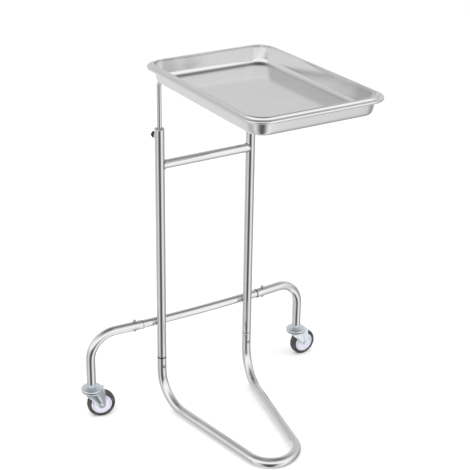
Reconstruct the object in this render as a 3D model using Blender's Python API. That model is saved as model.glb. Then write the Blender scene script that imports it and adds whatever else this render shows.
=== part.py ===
"""Instrument cart on two posts: a deep steel tray on a telescopic frame, a U-shaped floor tube and two casters.

Metres, +Z up. The origin is on the floor, in the middle of the box that holds the whole cart.
+X runs across the cart, and -Y is the front, towards which the tray and the floor tube reach out.
Every part is first placed from the plane of the two posts, whose middle is the empty "cart".
"""

import math

import bmesh
import bpy
import numpy as np

# Where the posts' plane stands in the box
CART_OFFSET = (-0.0165, 0.2199, 0.0)

# Fits
GAP = 0.0003  # between pieces that touch
SLIP = 0.0004  # around a shaft in its hole, on the radius

# Tubes
TUBE_OD = 0.025
TUBE_WALL = 0.0012
TUBE_R = TUBE_OD / 2
TUBE_BORE_R = TUBE_R - TUBE_WALL
INNER_TUBE_R = 0.011
BRACE_R = 0.0119
TUBE_SIDES = 20
BENT_SIDES = 16

# Posts
POST_X = 0.133
POST_TOP = 0.790
BASE_JOINT_Z = 0.145
BRACE_Z = 0.694

# Floor tube
FLOOR_TUBE_Z = TUBE_R
FLOOR_BEND_R = 0.090
LEG_TOE_IN = math.radians(11.0)
NOSE_R = 0.068
SPIGOT_DOWN = 0.034
SPIGOT_UP = 0.022
BASE_SCREW_Z = 0.119

# Rear crossbar and caster arms
CROSSBAR_Z = 0.2415
CROSSBAR_SWEEP_R = 3.73
ARM_JOINT_X = 0.176
ARM_BOLT_X = 0.199
ARM_BEND_R = 0.070
CASTER_X = 0.325
ARM_END_Z = 0.100

# Lifting frame
ROD_R = 0.006
ROD_SIDES = 14
ROD_END_Z = 0.250
ROD_BEND_R = 0.015
ROD_FRONT_Y = -0.425
CROSS_ROD_R = 0.005
CROSS_ROD_YS = {"rear": -0.075, "middle": -0.250, "front": -0.400}

# Tray: each section point is the inset from the rim's outer edge and the height from the rim's line
TRAY_WIDTH = 0.362
TRAY_LENGTH = 0.515
TRAY_BACK_Y = 0.011
TRAY_RIM_Z = 0.965
TRAY_FLOOR_DROP = 0.0425
TRAY_SHEET = 0.001
TRAY_CORNER_R = 0.053
TRAY_CORNER_TIGHTENS = 0.8
TRAY_WALL_TOP = (0.0165, -0.001)
TRAY_WALL_FOOT = (0.0212, -0.031)
TRAY_FLOOR_R = 0.0115
TRAY_CREST = (0.0148, 0.0042)
TRAY_GROOVE = (0.0092, -0.0026)
TRAY_BEAD_R = 0.0040
TRAY_BEAD_DROP = 0.0050

# Clamp screws at the tops of the posts
CLAMP_Z = 0.767
CLAMP_SCREW_R = 0.003
CLAMP_PAD_R = 0.0025
KNOB_R = 0.0087
KNOB_LOBES = 6
KNOB_LENGTH = 0.011
KNOB_START = 0.0215
BOSS_R = 0.007
BOSS_END = 0.0195

# Casters, in their own frame: x along the trail, y along the axle, z from the floor
WHEEL_R = 0.0375
WHEEL_WIDTH = 0.021
HUB_R = 0.0272
CASTER_TRAIL = 0.024
CASTER_ANGLES = {"left": math.radians(-15.0), "right": math.radians(0.0)}
FORK_INSIDE = 0.0125
FORK_PLATE = 0.0024
CROWN_R = 0.0275
CROWN_TOP = 0.081
BALL_R = 0.003
BALL_COUNT = 8
BALL_CIRCLE_R = 0.021
RACE_R = 0.0285
RACE_TOP = 0.0898
STEM_R = 0.005
STEM_NUT_TOP = 0.0979
AXLE_R = 0.004
BUSH_R = 0.006

ROUND_SIDES = 24
SMALL_SIDES = 12
SIDES = {"left": -1, "right": 1}


# ---------------------------------------------------------------- scene and materials


def clear_scene():
    """Removes every object of the starting scene."""
    for old in list(bpy.data.objects):
        bpy.data.objects.remove(old)


def finish(name, colour, roughness, metallic):
    """A Principled material."""
    made = bpy.data.materials.new(name)
    made.use_nodes = True
    shader = made.node_tree.nodes["Principled BSDF"]
    shader.inputs["Base Color"].default_value = (*colour, 1.0)
    shader.inputs["Roughness"].default_value = roughness
    shader.inputs["Metallic"].default_value = metallic
    return made


def make_finishes():
    """The cart's finishes by name."""
    return {
        "polished_tube": finish("polished_tube", (0.72, 0.72, 0.72), 0.16, 1.0),
        "tray_steel": finish("tray_steel", (0.78, 0.78, 0.78), 0.22, 1.0),
        "rod_steel": finish("rod_steel", (0.74, 0.74, 0.75), 0.12, 1.0),
        "weld_steel": finish("weld_steel", (0.50, 0.49, 0.47), 0.45, 1.0),
        "fastener_steel": finish("fastener_steel", (0.66, 0.66, 0.67), 0.22, 1.0),
        "zinc": finish("zinc", (0.72, 0.77, 0.80), 0.28, 1.0),
        "black_plastic": finish("black_plastic", (0.012, 0.012, 0.013), 0.38, 0.0),
        "grey_nylon": finish("grey_nylon", (0.55, 0.55, 0.54), 0.45, 0.0),
        "tyre_rubber": finish("tyre_rubber", (0.035, 0.034, 0.033), 0.62, 0.0),
        "hub_plastic": finish("hub_plastic", (0.80, 0.78, 0.86), 0.35, 0.0),
    }


# ---------------------------------------------------------------- meshes


def mesh_object(name, mesh, colour, parent):
    """Links a mesh as a smooth-shaded object with sharp edges kept."""
    made = bpy.data.objects.new(name, mesh)
    bpy.context.scene.collection.objects.link(made)
    made.parent = parent
    if colour is not None:
        mesh.materials.append(colour)
    mesh.shade_smooth()
    mesh.set_sharp_from_angle(angle=math.radians(32))
    return made


def empty(name, parent, location, turn=0.0):
    """A pivot: what is parented to it is modelled around its joint's axis."""
    made = bpy.data.objects.new(name, None)
    bpy.context.scene.collection.objects.link(made)
    made.parent = parent
    made.location = location
    made.rotation_euler = (0.0, 0.0, turn)
    return made


def skin(name, bodies):
    """A mesh of closed bodies, each a stack of rings of points.

    A body is (rings, looped). A looped stack joins its last ring to its first, like a hollow tube,
    and the others are capped at both ends.
    """
    build = bmesh.new()
    for rings, looped in bodies:
        rows = [[build.verts.new(point) for point in ring] for ring in rings]
        count = len(rows[0])
        pairs = list(zip(rows, rows[1:]))
        if looped:
            pairs.append((rows[-1], rows[0]))
        else:
            build.faces.new(rows[0])
            build.faces.new(rows[-1])
        for low, high in pairs:
            for i in range(count):
                j = (i + 1) % count
                build.faces.new((low[i], low[j], high[j], high[i]))
    bmesh.ops.recalc_face_normals(build, faces=build.faces)
    mesh = bpy.data.meshes.new(name)
    build.to_mesh(mesh)
    build.free()
    return mesh


def circle(radius, sides, phase=0.0):
    """Points of a circle in the XY plane, as (sides, 2)."""
    angles = phase + 2 * math.pi * np.arange(sides) / sides
    return np.stack([radius * np.cos(angles), radius * np.sin(angles)], 1)


def carried(path, radius, sides):
    """Rings of a round section carried along a path without twist."""
    path = np.asarray(path, float)
    tangents = np.gradient(path, axis=0)
    tangents[0] = path[1] - path[0]
    tangents[-1] = path[-1] - path[-2]
    tangents /= np.linalg.norm(tangents, axis=1)[:, None]
    side = np.cross(tangents[0], (0.0, 1.0, 0.0))
    if np.linalg.norm(side) < 0.1:
        side = np.cross(tangents[0], (1.0, 0.0, 0.0))
    rings = []
    for point, along in zip(path, tangents):
        side = side - along * (side @ along)
        side = side / np.linalg.norm(side)
        other = np.cross(along, side)
        section = circle(radius, sides)
        rings.append(point + section[:, :1] * side + section[:, 1:] * other)
    return rings


def tube(path, outer, inner, sides):
    """A hollow tube along a path, open at both ends."""
    return carried(path, outer, sides) + carried(path, inner, sides)[::-1], True


def rod(path, radius, sides):
    """A solid rod along a path."""
    return carried(path, radius, sides), False


def turned(profile, sides, axis="z", centre=(0.0, 0.0, 0.0), closed=False):
    """A turned body: profile points are (radius, height along the axis).

    A closed profile makes a ring with a hole. An open one starts and ends with flat caps.
    """
    rings = []
    for radius, height in profile:
        flat = circle(radius, sides)
        heights = np.full((sides, 1), height)
        if axis == "z":
            ring = np.hstack([flat, heights])
        elif axis == "y":
            ring = np.hstack([flat[:, :1], heights, flat[:, 1:]])
        else:
            ring = np.hstack([heights, flat])
        rings.append(ring + np.array(centre))
    return rings, closed


def ring_body(inner, outer, low, high, sides, axis="z", centre=(0.0, 0.0, 0.0)):
    """A plain sleeve."""
    profile = [(outer, low), (outer, high), (inner, high), (inner, low)]
    return turned(profile, sides, axis, centre, closed=True)


def cylinder_body(radius, low, high, sides, axis="z", centre=(0.0, 0.0, 0.0)):
    """A plain cylinder."""
    return turned([(radius, low), (radius, high)], sides, axis, centre)


def arc(centre, start, end, radius, first, last, steps):
    """Points on an arc: centre plus radius along the unit directions start and end."""
    angles = np.linspace(first, last, steps + 1)[:, None]
    return np.asarray(centre) + radius * (
        np.cos(angles) * np.asarray(start, float) + np.sin(angles) * np.asarray(end, float)
    )


def piece(name, bodies, colour, parent):
    """An object made of bodies, each a stack of rings."""
    return mesh_object(name, skin(name, bodies), colour, parent)


def boolean(target, operation, tool):
    """Adds a Boolean, and hides its tool."""
    modifier = target.modifiers.new(operation.lower(), "BOOLEAN")
    modifier.operation = operation
    modifier.object = tool
    modifier.solver = "EXACT"
    tool.hide_render = True
    tool.display_type = "WIRE"


def tool_object(name, bodies, parent):
    """A closed shape used only to cut or to add."""
    return mesh_object(name, skin(name, bodies), None, parent)


def point_at(side, x):
    """Mirrors an x for the left side."""
    return SIDES[side] * x


# ---------------------------------------------------------------- posts


def crossbar_y(x):
    """The crossbar's axis: a wide arc that touches the posts' backs and sweeps to the rear."""
    touch = TUBE_R + INNER_TUBE_R + GAP
    fall = CROSSBAR_SWEEP_R - math.sqrt(CROSSBAR_SWEEP_R**2 - x**2)
    fall_at_post = CROSSBAR_SWEEP_R - math.sqrt(CROSSBAR_SWEEP_R**2 - POST_X**2)
    return touch - fall_at_post + fall


def make_posts(cart, finishes):
    """Two straight tubes, each with a hole for its clamp screw."""
    for side in SIDES:
        x = point_at(side, POST_X)
        path = [(x, 0.0, BASE_JOINT_Z + GAP), (x, 0.0, POST_TOP)]
        body = tube(path, TUBE_R, TUBE_BORE_R, TUBE_SIDES)
        post = piece(f"{side}_post", [body], finishes["polished_tube"], cart)
        drill = tool_object(
            f"{side}_clamp_drill",
            [
                cylinder_body(
                    CLAMP_SCREW_R + SLIP, 0.007, 0.020, SMALL_SIDES, "y", (x, 0.0, CLAMP_Z)
                )
            ],
            cart,
        )
        boolean(post, "DIFFERENCE", drill)


def make_brace(cart, finishes):
    """The brace between the posts, coped to them, and its two weld rings."""
    reach = POST_X - 0.004
    axis = [(-reach, 0.0, BRACE_Z), (reach, 0.0, BRACE_Z)]
    body = tube(axis, BRACE_R, BRACE_R - TUBE_WALL, TUBE_SIDES)
    brace = piece("upper_brace", [body], finishes["polished_tube"], cart)
    for side, sign in SIDES.items():
        ends = sorted((sign * (POST_X - TUBE_R - 0.0030), sign * reach))
        centre = (0.0, 0.0, BRACE_Z)
        bead = ring_body(BRACE_R + GAP, BRACE_R + 0.0016, *ends, TUBE_SIDES, "x", centre)
        weld = piece(f"{side}_brace_weld", [bead], finishes["weld_steel"], cart)
        centre = (sign * POST_X, 0.0, BRACE_Z)
        shape = cylinder_body(TUBE_R + GAP, -0.03, 0.03, TUBE_SIDES, "z", centre)
        post_shape = tool_object(f"{side}_post_shape", [shape], cart)
        boolean(brace, "DIFFERENCE", post_shape)
        boolean(weld, "DIFFERENCE", post_shape)


def make_guide_bushes(cart, finishes):
    """A bush in the top of each post, in which the rod slides."""
    profile = [
        (ROD_R + SLIP, POST_TOP - 0.015),
        (TUBE_BORE_R - SLIP, POST_TOP - 0.015),
        (TUBE_BORE_R - SLIP, POST_TOP + GAP),
        (TUBE_R - 0.0004, POST_TOP + GAP),
        (TUBE_R - 0.0012, POST_TOP + 0.0018),
        (ROD_R + SLIP, POST_TOP + 0.0018),
    ]
    for side, sign in SIDES.items():
        body = turned(profile, TUBE_SIDES, "z", (sign * POST_X, 0.0, 0.0), closed=True)
        piece(f"{side}_guide_bush", [body], finishes["fastener_steel"], cart)


# ---------------------------------------------------------------- floor tube


def floor_path():
    """The floor tube's axis, from the left joint round the nose to the right joint."""
    inward = np.array([math.sin(LEG_TOE_IN), -math.cos(LEG_TOE_IN), 0.0])
    top = np.array([-POST_X, 0.0, BASE_JOINT_Z - GAP])
    bend_centre = np.array([-POST_X, 0.0, FLOOR_TUBE_Z + FLOOR_BEND_R]) + inward * FLOOR_BEND_R
    down_bend = arc(
        bend_centre, -inward, (0.0, 0.0, -1.0), FLOOR_BEND_R, 0.0, math.pi / 2, 7
    )
    nose_y = (NOSE_R - POST_X * math.cos(LEG_TOE_IN)) / math.sin(LEG_TOE_IN)
    nose = arc(
        (0.0, nose_y, FLOOR_TUBE_Z),
        (-1.0, 0.0, 0.0),
        (0.0, -1.0, 0.0),
        NOSE_R,
        LEG_TOE_IN,
        math.pi / 2,
        6,
    )
    half = np.vstack([top, down_bend, nose])
    return np.vstack([half, (half * (-1.0, 1.0, 1.0))[-2::-1]])


def make_floor_tube(cart, finishes):
    """The U-shaped floor tube, its spigots into the posts and its screws."""
    body = tube(floor_path(), TUBE_R, TUBE_BORE_R, BENT_SIDES)
    floor_tube = piece("floor_tube", [body], finishes["polished_tube"], cart)
    spigot_r = INNER_TUBE_R - 0.0001
    ends = (BASE_JOINT_Z - SPIGOT_DOWN, BASE_JOINT_Z + SPIGOT_UP)
    screw_profile = [
        (0.0021, -0.0085),
        (0.0021, -TUBE_R - GAP),
        (0.0043, -TUBE_R - GAP),
        (0.0040, -TUBE_R - 0.0015),
        (0.0022, -TUBE_R - 0.0026),
    ]
    for side, sign in SIDES.items():
        centre = (sign * POST_X, 0.0, 0.0)
        body = ring_body(spigot_r - TUBE_WALL, spigot_r, *ends, TUBE_SIDES, "z", centre)
        spigot = piece(f"{side}_base_spigot", [body], finishes["rod_steel"], cart)
        centre = (sign * POST_X, 0.0, BASE_SCREW_Z)
        hole = cylinder_body(0.0021 + SLIP, -0.020, -0.006, SMALL_SIDES, "y", centre)
        drill = tool_object(f"{side}_base_drill", [hole], cart)
        boolean(floor_tube, "DIFFERENCE", drill)
        boolean(spigot, "DIFFERENCE", drill)
        body = turned(screw_profile, SMALL_SIDES, "y", centre)
        piece(f"{side}_base_screw", [body], finishes["fastener_steel"], cart)


# ---------------------------------------------------------------- crossbar and arms


def sweep_path(first, last, steps):
    """Points on the crossbar's swept axis between two x values."""
    return [(x, crossbar_y(x), CROSSBAR_Z) for x in np.linspace(first, last, steps + 1)]


def bolt_drill(side, cart):
    """The upright hole through an arm and the bar inside it."""
    x = point_at(side, ARM_BOLT_X)
    centre = (x, crossbar_y(x), 0.0)
    return tool_object(
        f"{side}_arm_drill",
        [
            cylinder_body(
                0.0025 + SLIP, CROSSBAR_Z - 0.02, CROSSBAR_Z + 0.02, SMALL_SIDES, "z", centre
            )
        ],
        cart,
    )


def arm_path(side):
    """An arm's axis: along the sweep, then bent down to the caster."""
    sign = SIDES[side]
    flat_end = CASTER_X - ARM_BEND_R
    run = sweep_path(sign * (ARM_JOINT_X + GAP), sign * flat_end, 2)
    lean = (crossbar_y(CASTER_X) - crossbar_y(flat_end)) / ARM_BEND_R
    outward = np.array([sign, lean, 0.0])
    start = np.array(run[-1])
    bend = arc(
        start - (0.0, 0.0, ARM_BEND_R), (0.0, 0.0, 1.0), outward, ARM_BEND_R, 0.0, math.pi / 2, 8
    )
    foot = bend[-1] * (1.0, 1.0, 0.0) + (0.0, 0.0, ARM_END_Z)
    return np.vstack([run[:-1], bend, foot])


def make_crossbar(cart, finishes):
    """The rear crossbar, the two arms that sleeve over its ends, their welds and their bolts."""
    reach = ARM_BOLT_X + 0.018
    wall_r = INNER_TUBE_R - TUBE_WALL
    body = tube(sweep_path(-reach, reach, 8), INNER_TUBE_R, wall_r, BENT_SIDES)
    crossbar = piece("rear_crossbar", [body], finishes["polished_tube"], cart)
    bar_shape = rod(sweep_path(-0.16, 0.16, 6), INNER_TUBE_R + GAP, TUBE_SIDES)
    bar_tool = tool_object("weld_bar_shape", [bar_shape], cart)
    for side in SIDES:
        drill = bolt_drill(side, cart)
        boolean(crossbar, "DIFFERENCE", drill)
        body = tube(arm_path(side), TUBE_R, TUBE_BORE_R, BENT_SIDES)
        arm = piece(f"{side}_arm", [body], finishes["polished_tube"], cart)
        boolean(arm, "DIFFERENCE", drill)
        make_crossbar_weld(side, bar_tool, cart, finishes)
        make_arm_bolt(side, cart, finishes)


def make_crossbar_weld(side, bar_tool, cart, finishes):
    """The weld where the crossbar touches a post."""
    profile = [
        (0.0070, TUBE_R - 0.0040),
        (0.0085, TUBE_R - 0.0010),
        (0.0085, TUBE_R + 0.0020),
        (0.0070, TUBE_R + 0.0050),
    ]
    x = point_at(side, POST_X)
    body = turned(profile, SMALL_SIDES, "y", (x, 0.0, CROSSBAR_Z))
    weld = piece(f"{side}_crossbar_weld", [body], finishes["weld_steel"], cart)
    shape = cylinder_body(TUBE_R + GAP, -0.03, 0.03, TUBE_SIDES, "z", (x, 0.0, CROSSBAR_Z))
    boolean(weld, "DIFFERENCE", tool_object(f"{side}_weld_post_shape", [shape], cart))
    boolean(weld, "DIFFERENCE", bar_tool)


def hexagon(across_flats):
    """The corner radius of a hexagon."""
    return across_flats / 2 / math.cos(math.pi / 6)


def make_arm_bolt(side, cart, finishes):
    """A bolt up through an arm, and its cap nut on top."""
    low = CROSSBAR_Z - TUBE_R - GAP
    high = CROSSBAR_Z + TUBE_R + GAP
    x = point_at(side, ARM_BOLT_X)
    centre = (x, crossbar_y(x), 0.0)
    bolt = [
        (0.0024, low - 0.0028),
        (0.0042, low - 0.0016),
        (0.0046, low),
        (0.0025, low),
        (0.0025, high + 0.0030),
    ]
    body = turned(bolt, SMALL_SIDES, "z", centre)
    piece(f"{side}_arm_bolt", [body], finishes["fastener_steel"], cart)
    corner = hexagon(0.008)
    bore = hexagon(2 * (0.0025 + SLIP))
    nut = [
        (0.0012, high + 0.0040),
        (bore, high + 0.0036),
        (bore, high),
        (corner, high),
        (corner, high + 0.0028),
        (0.0038, high + 0.0034),
        (0.0032, high + 0.0054),
        (0.0016, high + 0.0066),
    ]
    body = turned(nut, 6, "z", centre)
    piece(f"{side}_arm_cap_nut", [body], finishes["fastener_steel"], cart)


# ---------------------------------------------------------------- lifting frame


def tray_under():
    """The height of the tray's underside."""
    return TRAY_RIM_Z - TRAY_FLOOR_DROP


def rod_path(side):
    """A lifting rod's axis: up out of the post, bent forward, and along under the tray."""
    x = point_at(side, POST_X)
    run_z = tray_under() - GAP - ROD_R
    bend = arc(
        (x, -ROD_BEND_R, run_z - ROD_BEND_R),
        (0.0, 1.0, 0.0),
        (0.0, 0.0, 1.0),
        ROD_BEND_R,
        0.0,
        math.pi / 2,
        6,
    )
    return np.vstack([(x, 0.0, ROD_END_Z), bend, (x, ROD_FRONT_Y, run_z)])


def make_lifting_frame(slide, finishes):
    """Two bent rods, the cross rods welded between them, and the guides on their lower ends."""
    profile = [
        (ROD_R + GAP, ROD_END_Z + 0.002),
        (TUBE_BORE_R - 0.0008, ROD_END_Z + 0.002),
        (TUBE_BORE_R - 0.0004, ROD_END_Z + 0.004),
        (TUBE_BORE_R - 0.0004, ROD_END_Z + 0.026),
        (TUBE_BORE_R - 0.0008, ROD_END_Z + 0.028),
        (ROD_R + GAP, ROD_END_Z + 0.028),
    ]
    for side, sign in SIDES.items():
        body = rod(rod_path(side), ROD_R, ROD_SIDES)
        piece(f"{side}_lift_rod", [body], finishes["rod_steel"], slide)
        body = turned(profile, TUBE_SIDES, "z", (sign * POST_X, 0.0, 0.0), closed=True)
        piece(f"{side}_rod_guide", [body], finishes["grey_nylon"], slide)
    run_z = tray_under() - GAP - ROD_R
    reach = POST_X - ROD_R - GAP
    for place, y in CROSS_ROD_YS.items():
        body = cylinder_body(CROSS_ROD_R, -reach, reach, SMALL_SIDES, "x", (0.0, y, run_z))
        piece(f"{place}_cross_rod", [body], finishes["rod_steel"], slide)


# ---------------------------------------------------------------- tray


def rounded_rectangle(width, length, radius, corner_steps):
    """Points of a rounded rectangle about the origin, as (points, 2)."""
    points = []
    for quarter in range(4):
        angles = math.pi / 2 * (quarter + np.linspace(0.0, 1.0, corner_steps + 1))
        cx = (width / 2 - radius) * (1 if quarter in (0, 3) else -1)
        cy = (length / 2 - radius) * (1 if quarter in (0, 1) else -1)
        points.append(np.stack([cx + radius * np.cos(angles), cy + radius * np.sin(angles)], 1))
    return np.vstack(points)


def tray_section():
    """The sheet's section from the floor's underside out to the rolled bead and back to the floor's top."""
    half = TRAY_SHEET / 2
    (top_in, top_z), (foot_in, foot_z) = TRAY_WALL_TOP, TRAY_WALL_FOOT
    floor_z = -TRAY_FLOOR_DROP
    outer = [
        (foot_in - half + TRAY_FLOOR_R, floor_z),
        (foot_in - half + TRAY_FLOOR_R * 0.45, floor_z + 0.0016),
        (foot_in - half + TRAY_FLOOR_R * 0.13, floor_z + 0.0057),
        (foot_in - half, foot_z),
        (top_in - half, top_z),
        (TRAY_CREST[0] + 0.0006, TRAY_CREST[1] - TRAY_SHEET - 0.0006),
        (TRAY_GROOVE[0] + 0.0002, TRAY_GROOVE[1] - TRAY_SHEET),
    ]
    around = np.radians(np.linspace(-8.0, -320.0, 9))
    bead = [
        (TRAY_BEAD_R * (1 + math.cos(a)), -TRAY_BEAD_DROP + TRAY_BEAD_R * math.sin(a))
        for a in around
    ]
    inner = [
        TRAY_GROOVE,
        (TRAY_CREST[0] - 0.0026, TRAY_CREST[1] - 0.0012),
        TRAY_CREST,
        (TRAY_CREST[0] + 0.0020, TRAY_CREST[1] - 0.0014),
        (top_in + half, top_z),
        (foot_in + half, foot_z),
        (foot_in + half + TRAY_FLOOR_R * 0.13, floor_z + TRAY_SHEET + 0.0052),
        (foot_in + half + TRAY_FLOOR_R * 0.45, floor_z + TRAY_SHEET + 0.0016),
        (foot_in + half + TRAY_FLOOR_R * 0.95, floor_z + TRAY_SHEET),
    ]
    return outer, bead, inner


def make_tray(lift, finishes):
    """The pressed tray, as rounded-rectangle rings stacked along its section."""
    outer, bead, inner = tray_section()
    centre = np.array([0.0, TRAY_BACK_Y - TRAY_LENGTH / 2, TRAY_RIM_Z])
    rings = []
    for inset, height in outer + bead + inner:
        radius = TRAY_CORNER_R - TRAY_CORNER_TIGHTENS * inset
        flat = rounded_rectangle(TRAY_WIDTH - 2 * inset, TRAY_LENGTH - 2 * inset, radius, 6)
        rings.append(np.hstack([flat, np.full((len(flat), 1), height)]) + centre)
    mesh_object("tray", skin("tray", [(rings, False)]), finishes["tray_steel"], lift)


# ---------------------------------------------------------------- clamps


def make_clamp(side, cart, finishes):
    """A boss welded behind the post, and the screw, knob and pad that clamp the rod."""
    place = (point_at(side, POST_X), 0.0, CLAMP_Z)
    bore = CLAMP_SCREW_R + SLIP
    body = ring_body(bore, BOSS_R, 0.008, BOSS_END, SMALL_SIDES, "y", place)
    boss = piece(f"{side}_clamp_boss", [body], finishes["fastener_steel"], cart)
    shape = cylinder_body(TUBE_R + GAP, -0.02, 0.015, TUBE_SIDES, "z", place)
    boolean(boss, "DIFFERENCE", tool_object(f"{side}_boss_seat", [shape], cart))
    travel = empty(f"{side}_clamp_travel", cart, place)
    tip = ROD_R + GAP
    pad = [(CLAMP_PAD_R - 0.0004, tip), (CLAMP_PAD_R, tip + 0.0005), (CLAMP_PAD_R, tip + 0.0015)]
    body = turned(pad, SMALL_SIDES, "y")
    piece(f"{side}_clamp_pad", [body], finishes["grey_nylon"], travel)
    ends = (tip + 0.0015 + GAP, KNOB_START + 0.007)
    body = cylinder_body(CLAMP_SCREW_R, *ends, SMALL_SIDES, "y")
    piece(f"{side}_clamp_screw", [body], finishes["fastener_steel"], travel)
    mesh = knob_mesh(f"{side}_clamp_knob")
    mesh_object(f"{side}_clamp_knob", mesh, finishes["black_plastic"], travel)


def knob_mesh(name):
    """A lobed knob on a collar, with the screw's blind hole in its front."""
    sides = KNOB_LOBES * 4
    angles = 2 * math.pi * np.arange(sides) / sides
    lobes = 1.0 - 0.09 * (0.5 + 0.5 * np.cos(KNOB_LOBES * angles))
    back = KNOB_START + KNOB_LENGTH
    stack = [
        (0.0015, KNOB_START + 0.0073, 0.0),
        (CLAMP_SCREW_R + GAP, KNOB_START + 0.0073, 0.0),
        (CLAMP_SCREW_R + GAP, KNOB_START, 0.0),
        (0.0050, KNOB_START, 0.0),
        (0.0054, KNOB_START + 0.0022, 0.0),
        (KNOB_R - 0.0010, KNOB_START + 0.0030, 1.0),
        (KNOB_R, KNOB_START + 0.0042, 1.0),
        (KNOB_R, back - 0.0016, 1.0),
        (KNOB_R - 0.0014, back - 0.0004, 0.8),
        (KNOB_R - 0.0040, back, 0.3),
    ]
    rings = []
    for radius, y, lobed in stack:
        r = radius * (1.0 + lobed * (lobes - 1.0))
        rings.append(np.stack([r * np.cos(angles), np.full(sides, y), r * np.sin(angles)], 1))
    return skin(name, [(rings, False)])


# ---------------------------------------------------------------- casters


def caster_place(side):
    """The swivel axis, on the floor."""
    sign = SIDES[side]
    end = arm_path(side)[-1]
    return (sign * abs(end[0]), end[1], 0.0)


def make_caster_mounting(side, cart, finishes):
    """What holds a caster in its arm: socket, stem, nut and the upper race."""
    centre = caster_place(side)
    bore = STEM_R + SLIP
    plug_r = TUBE_BORE_R - SLIP
    socket = [
        (bore, ARM_END_Z - 0.0016),
        (TUBE_R, ARM_END_Z - 0.0016),
        (TUBE_R, ARM_END_Z - GAP),
        (plug_r, ARM_END_Z - GAP),
        (plug_r, ARM_END_Z + 0.030),
        (bore, ARM_END_Z + 0.030),
    ]
    body = turned(socket, TUBE_SIDES, "z", centre, closed=True)
    piece(f"{side}_caster_socket", [body], finishes["grey_nylon"], cart)
    head_top = CROWN_TOP - FORK_PLATE - GAP
    stem = [
        (0.0060, head_top - 0.0026),
        (0.0085, head_top - 0.0016),
        (0.0085, head_top),
        (STEM_R, head_top),
        (STEM_R, ARM_END_Z + 0.026),
    ]
    body = turned(stem, SMALL_SIDES, "z", centre)
    piece(f"{side}_caster_stem", [body], finishes["zinc"], cart)
    ends = (RACE_TOP + GAP, STEM_NUT_TOP)
    body = ring_body(hexagon(2 * bore), hexagon(0.017), *ends, 6, "z", centre)
    piece(f"{side}_stem_nut", [body], finishes["zinc"], cart)
    body = turned(race_profile(bore), ROUND_SIDES, "z", centre, closed=True)
    piece(f"{side}_caster_top_race", [body], finishes["zinc"], cart)


def race_profile(bore):
    """The upper race: a dished plate whose edge turns down over the balls."""
    under = RACE_TOP - 0.0020
    return [
        (bore, RACE_TOP),
        (0.0150, RACE_TOP),
        (0.0245, RACE_TOP - 0.0002),
        (RACE_R - 0.0010, RACE_TOP - 0.0014),
        (RACE_R, RACE_TOP - 0.0036),
        (RACE_R, RACE_TOP - 0.0064),
        (RACE_R - 0.0018, RACE_TOP - 0.0064),
        (RACE_R - 0.0020, under - 0.0016),
        (0.0245, under),
        (bore, under),
    ]


def plate_outline():
    """A fork leg seen along the axle: a wide top that tapers to a round end at the axle."""
    eye = 0.0095
    end = [
        (CASTER_TRAIL + eye * math.cos(a), WHEEL_R + eye * math.sin(a))
        for a in np.radians(np.linspace(20.0, -150.0, 7))
    ]
    top = CROWN_TOP - FORK_PLATE * 0.5
    return [(-0.0180, top), (0.0330, top), (0.0345, 0.0700), *end, (-0.0160, 0.0700)]


def make_caster(side, cart, finishes):
    """One caster: fork, balls in their cage, axle and wheel, about its own swivel and axle."""
    swivel = empty(f"{side}_swivel", cart, caster_place(side), CASTER_ANGLES[side])
    make_fork(side, swivel, finishes)
    ball_z = CROWN_TOP + GAP + BALL_R
    cage_ends = (ball_z - 0.0008, ball_z + 0.0008)
    cage = ring_body(BALL_CIRCLE_R - 0.0025, BALL_CIRCLE_R + 0.0025, *cage_ends, ROUND_SIDES)
    ring = piece(f"{side}_ball_ring", [cage], finishes["rod_steel"], swivel)
    balls = [ball_body((x, y, ball_z)) for x, y in circle(BALL_CIRCLE_R, BALL_COUNT)]
    boolean(ring, "UNION", tool_object(f"{side}_balls", balls, swivel))
    axle = empty(f"{side}_axle", swivel, (CASTER_TRAIL, 0.0, WHEEL_R))
    face = FORK_INSIDE + FORK_PLATE + GAP
    bolt = [
        (0.0040, -face - 0.0042),
        (0.0062, -face - 0.0024),
        (0.0068, -face),
        (AXLE_R, -face),
        (AXLE_R, face + 0.0085),
    ]
    body = turned(bolt, SMALL_SIDES, "y")
    piece(f"{side}_axle_bolt", [body], finishes["zinc"], axle)
    bore = hexagon(2 * (AXLE_R + SLIP))
    body = ring_body(bore, hexagon(0.013), face, face + 0.0065, 6, "y")
    piece(f"{side}_axle_nut", [body], finishes["zinc"], axle)
    make_wheel(side, axle, finishes)


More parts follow.
